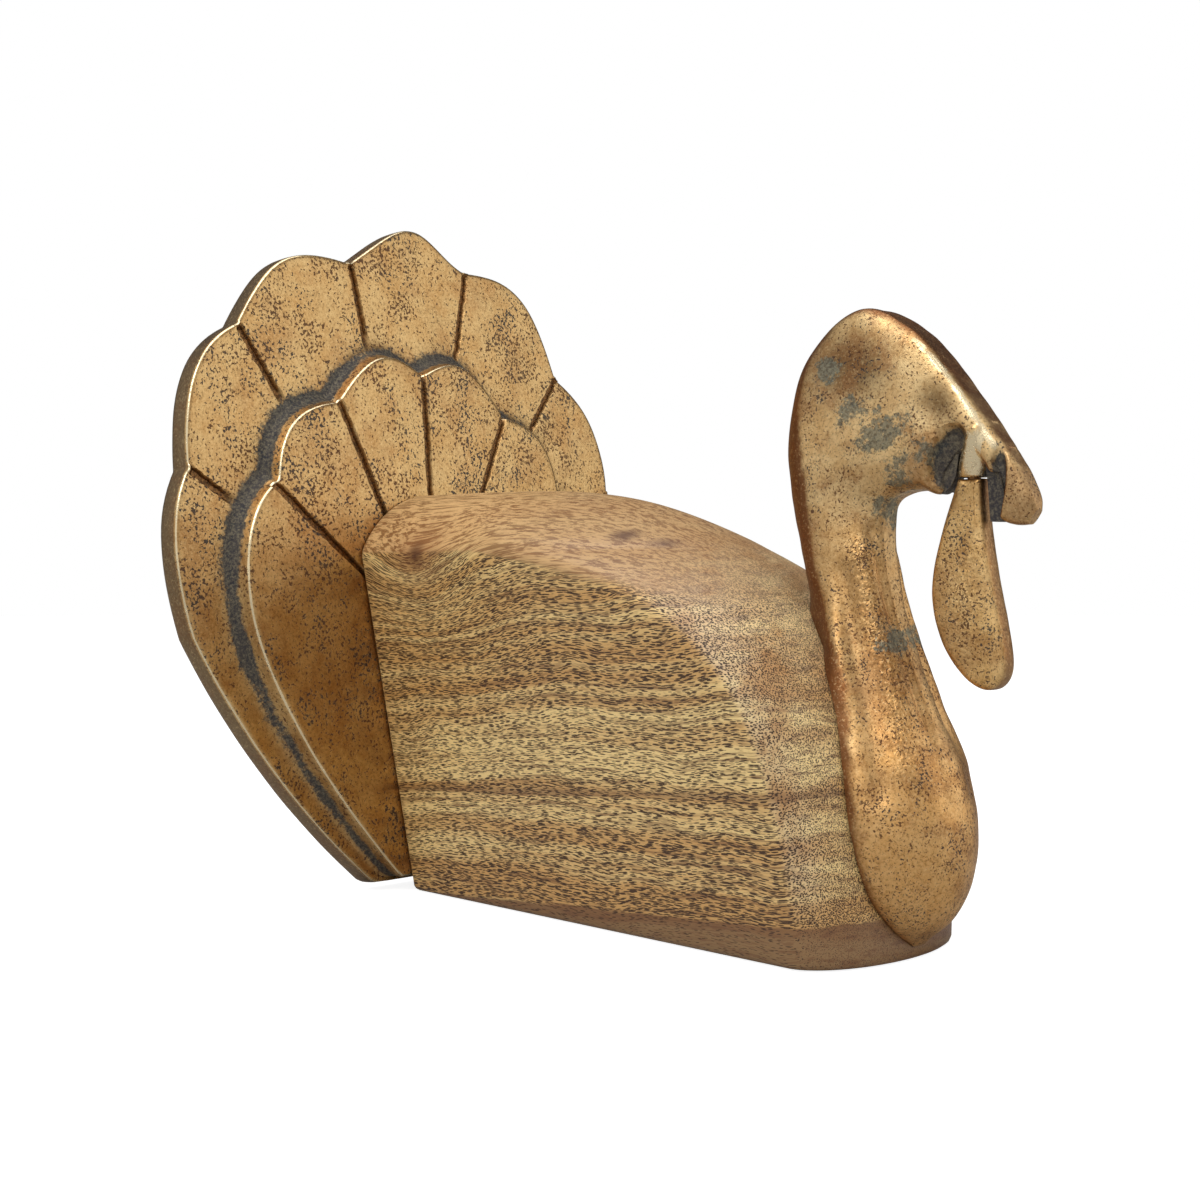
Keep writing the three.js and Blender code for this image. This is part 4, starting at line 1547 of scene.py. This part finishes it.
@dataclass
class TailScrews:
    """Countersunk wood screws that hold the fan, made by one node tree and set at each place."""

    length: float = 34.0
    shank: float = 1.55
    thread: float = 2.0
    head: float = 4.0
    head_depth: float = 2.4
    pitch: float = 1.6
    slot: Triple = (4.4, 0.9, 2.2)
    tip_share: float = 1.2
    thread_start: float = 0.36
    thread_run: float = 0.55

    def tree(self, finish: bpy.types.Material) -> tuple[bpy.types.NodeTree, dict[str, str]]:
        """The node tree that makes a screw at each point.

        Args:
            finish: The screws' material.

        Returns:
            The tree, and its inputs' identifiers by name.
        """
        tree = bpy.data.node_groups.new("countersunk_screw", "GeometryNodeTree")
        tree.interface.new_socket("Geometry", in_out="INPUT", socket_type="NodeSocketGeometry")
        inputs = {}
        for name in ("Length", "Shank Radius", "Thread Radius", "Head Radius", "Head Depth", "Pitch", "Lean"):
            made = tree.interface.new_socket(name, in_out="INPUT", socket_type="NodeSocketFloat")
            inputs[name] = made.identifier
        tree.interface.new_socket("Geometry", in_out="OUTPUT", socket_type="NodeSocketGeometry")
        graph = Graph(tree)
        given = graph.add("NodeGroupInput").outputs
        length, start, radius = given["Length"], given["Head Depth"], given["Shank Radius"]

        def moved(shape: Socket, z: Socket) -> Socket:
            """Shape moved along its own axis."""
            offset = graph.add("ShaderNodeCombineXYZ", {2: z}).outputs[0]
            return graph.add("GeometryNodeTransform", {"Geometry": shape, "Translation": offset}).outputs[0]

        cone = {"Vertices": 40, "Radius Bottom": given["Head Radius"], "Radius Top": radius, "Depth": start}
        head = graph.add("GeometryNodeMeshCone", cone).outputs["Mesh"]
        inner = graph.less(length, graph.times(start, 1 + self.tip_share))
        bar = {"Vertices": 28, "Radius": radius, "Depth": inner}
        shank = graph.add("GeometryNodeMeshCylinder", bar).outputs["Mesh"]
        point = {"Vertices": 28, "Radius Bottom": radius, "Radius Top": 0.0}
        point["Depth"] = graph.times(start, self.tip_share)
        tip = graph.add("GeometryNodeMeshCone", point).outputs["Mesh"]
        slot = graph.add("GeometryNodeMeshCube", {"Size": tuple(s * MM for s in self.slot)}).outputs["Mesh"]
        quarter = {"Geometry": slot, "Rotation": (0.0, 0.0, math.pi / 2)}
        cross = graph.add("GeometryNodeTransform", quarter).outputs[0]
        meshes = {"Mesh 1": head, "Mesh 2": slot}
        recess = graph.add("GeometryNodeMeshBoolean", meshes, operation="DIFFERENCE")
        tree.links.new(cross, recess.inputs["Mesh 2"])
        run = graph.times(length, self.thread_run)
        spiral = {"Resolution": 18, "Rotations": graph.math("DIVIDE", run, given["Pitch"])}
        spiral |= {"Start Radius": radius, "End Radius": radius, "Height": run}
        helix = graph.add("GeometryNodeCurveSpiral", spiral).outputs[0]
        circle = {"Resolution": 4, "Radius": graph.less(given["Thread Radius"], radius)}
        edge = graph.add("GeometryNodeCurvePrimitiveCircle", circle).outputs[0]
        sweep = {"Curve": helix, "Profile Curve": edge, "Fill Caps": True}
        ridge = graph.add("GeometryNodeCurveToMesh", sweep).outputs[0]

        whole = graph.add("GeometryNodeJoinGeometry")
        shapes = [recess.outputs["Mesh"]]
        shapes.append(moved(shank, graph.plus(start, graph.times(inner, 0.5))))
        shapes.append(moved(tip, graph.plus(start, inner)))
        shapes.append(moved(ridge, graph.times(length, self.thread_start)))
        for shape in shapes:
            tree.links.new(shape, whole.inputs[0])
        turn = graph.add("ShaderNodeCombineXYZ", {1: graph.less(math.pi / 2, given["Lean"])}).outputs[0]
        spread = {"Points": given["Geometry"], "Instance": whole.outputs[0], "Rotation": turn}
        set_out = graph.add("GeometryNodeInstanceOnPoints", spread).outputs[0]
        real = graph.add("GeometryNodeRealizeInstances", {0: set_out}).outputs[0]
        dressed = graph.add("GeometryNodeSetMaterial", {"Geometry": real, "Material": finish})
        graph.add("NodeGroupOutput", {0: dressed.outputs[0]})
        return tree, inputs

    def build(self, finish: bpy.types.Material, fan: TailFan) -> bpy.types.Object:
        """All the screws as one piece.

        Args:
            finish: Their material.
            fan: The fan that they hold.

        Returns:
            The piece.
        """
        places = fan.leaned(np.array([[fan.back + FIT_GAP, across, up] for across, up in fan.screw_places]))
        mesh = bpy.data.meshes.new("screw_places")
        mesh.from_pydata(((places + np.array([ORIGIN_X, 0, 0])) * MM).tolist(), [], [])
        piece = bpy.data.objects.new("fan_screws", mesh)
        bpy.context.scene.collection.objects.link(piece)
        tree, inputs = self.tree(finish)
        step = piece.modifiers.new("screws", "NODES")
        step.node_group = tree
        sizes = {"Length": self.length, "Shank Radius": self.shank, "Thread Radius": self.thread}
        sizes |= {"Head Radius": self.head, "Head Depth": self.head_depth, "Pitch": self.pitch}
        for name, value in sizes.items():
            step[inputs[name]] = value * MM
        step[inputs["Lean"]] = TAIL_LEAN
        bpy.context.view_layer.update()
        settle(piece)
        return piece


@dataclass(frozen=True)
class Lamp:
    """A square soft light: its place, what it looks at, its side in metres and its power in watts."""

    name: str
    place: Triple
    aim: Triple
    side: float
    power: float

    def build(self) -> None:
        """Hang the light, unseen by the camera."""
        data = bpy.data.lights.new(self.name, "AREA")
        data.shape = "SQUARE"
        data.size = self.side
        data.energy = self.power
        lamp = bpy.data.objects.new(self.name, data)
        lamp.location = self.place
        lamp.rotation_euler = (Vector(self.aim) - Vector(self.place)).to_track_quat("-Z", "Y").to_euler()
        lamp.visible_camera = False
        bpy.context.scene.collection.objects.link(lamp)


@dataclass
class Studio:
    """Plain pale floor, soft lights and the camera at the photograph's angle."""

    camera_place: Triple = (322.8, -304.1, 73.4)
    azimuth: float = math.radians(42.0)
    pitch: float = math.radians(0.4775)
    lens: float = 54.0
    sensor: float = 36.0
    floor_radius: float = 4.0
    floor_drop: float = 0.0002
    bright_side: Triple = (0.25, -0.95, 0.2)
    lamps: tuple[Lamp, ...] = (
        Lamp("key", (0.12, -0.9, 0.95), (0.0, 0.0, 0.06), 0.55, 3.2),
        Lamp("right_panel", (0.95, 0.75, 0.35), (-0.05, 0.0, 0.08), 1.2, 5.0),
        Lamp("overhead", (-0.1, -0.1, 1.4), (0.0, 0.0, 0.0), 1.2, 9.0),
    )

    def world(self) -> None:
        """Soft surroundings: white to the eye, brighter in front than behind for the metal to mirror."""
        scene = bpy.context.scene
        scene.world = bpy.data.worlds.new("studio")
        scene.world.use_nodes = True
        tree = scene.world.node_tree
        graph = Graph(tree)
        shader = tree.nodes["Background"]
        way = graph.add("ShaderNodeTexCoord").outputs["Generated"]
        facing = graph.add("ShaderNodeVectorMath", {0: way, 1: self.bright_side}, operation="DOT_PRODUCT")
        glow = graph.scaled(graph.rise(facing.outputs["Value"], -0.5, 0.9), 0.7, 0.1)
        seen = graph.add("ShaderNodeLightPath").outputs["Is Camera Ray"]
        graph.feed(shader.inputs["Strength"], graph.mix(seen, glow, 1.0))
        shader.inputs["Color"].default_value = (1.0, 1.0, 1.0, 1.0)

    def floor(self) -> None:
        """A wide pale floor."""
        mesh = bpy.data.meshes.new("floor")
        turn = np.linspace(0, 2 * math.pi, 65)[:-1]
        reach = self.floor_radius
        points = [(reach * math.cos(a), reach * math.sin(a), -self.floor_drop) for a in turn]
        mesh.from_pydata(points, [], [tuple(range(64))])
        floor = bpy.data.objects.new("floor", mesh)
        bpy.context.scene.collection.objects.link(floor)
        material, graph, shader = new_finish("pale_floor")
        tone = graph.noise(graph.place(), 6, 2)
        graph.feed(shader.inputs["Base Color"], graph.blend(tone, (0.5, 0.5, 0.5, 1), (0.54, 0.54, 0.54, 1)))
        shader.inputs["Roughness"].default_value = 0.9
        shader.inputs["Specular IOR Level"].default_value = 0.1
        shader.inputs["Emission Color"].default_value = (1.0, 1.0, 1.0, 1.0)
        seen = graph.add("ShaderNodeLightPath").outputs["Is Camera Ray"]
        graph.feed(shader.inputs["Emission Strength"], graph.times(seen, 0.88))
        mesh.materials.append(material)

    def camera(self) -> None:
        """The camera."""
        data = bpy.data.cameras.new("camera")
        data.lens = self.lens
        data.sensor_width = self.sensor
        data.clip_start = 0.01
        camera = bpy.data.objects.new("camera", data)
        place = Vector(self.camera_place) * MM
        place.x += ORIGIN_X * MM
        level = math.cos(self.pitch)
        across, ahead = -math.sin(self.azimuth) * level, math.cos(self.azimuth) * level
        forward = Vector((across, ahead, -math.sin(self.pitch)))
        camera.location = place
        camera.rotation_euler = forward.to_track_quat("-Z", "Y").to_euler()
        bpy.context.scene.collection.objects.link(camera)
        bpy.context.scene.camera = camera

    def build(self) -> None:
        """The whole studio."""
        bpy.context.scene.view_settings.view_transform = "Standard"
        self.world()
        self.floor()
        for lamp in self.lamps:
            lamp.build()
        self.camera()


def main() -> None:
    """Build and dress the figure's pieces in order."""
    logging.basicConfig(level=logging.INFO, format="%(name)s: %(message)s")
    skin = cast_skin_group()
    body, fan, head, drop = WoodBody(), TailFan(), HeadAndNeck(), Wattle()
    tail_finish = AgedBrass(
        "tail_brass",
        light=srgb(220, 184, 126),
        deep=srgb(194, 152, 96),
        band_and_shade=srgb(134, 112, 82),
        pitting=1.05,
    )
    head_finish = AgedBrass(
        "head_brass",
        light=srgb(246, 214, 158),
        deep=srgb(220, 178, 120),
        pitting=0.85,
        roughness=0.4,
        fineness=1.5,
        swell=0.25,
        tarnish=0.45,
    )
    drop_finish = AgedBrass(
        "wattle_brass",
        light=srgb(244, 210, 150),
        deep=srgb(218, 176, 114),
        pitting=0.85,
        roughness=0.38,
        fineness=1.5,
        swell=0.25,
        tarnish=0.35,
    )
    seat(body.build(WaxedWood().make()), Slot.WOOD, "wood_body")
    seat(fan.build(tail_finish.make(skin)), Slot.TAIL, "tail_fan")
    seat(head.build(head_finish.make(skin), body), Slot.HEAD, "head_and_neck")
    seat(drop.build(drop_finish.make(skin)), Slot.WATTLE, "wattle")
    steel = PlainSteel().make()
    seat(TailScrews().build(steel, fan), Slot.STEEL, "tail_screw_1", "tail_screw_2", "tail_screw_3")
    for name in ("neck_stud_1", "neck_stud_2"):
        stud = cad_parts[name].data
        stud.materials.clear()
        stud.materials.append(steel)
        LOG.info("%s: the part's own solid", name)
    Studio().build()


if __name__ == "__main__":
    main()
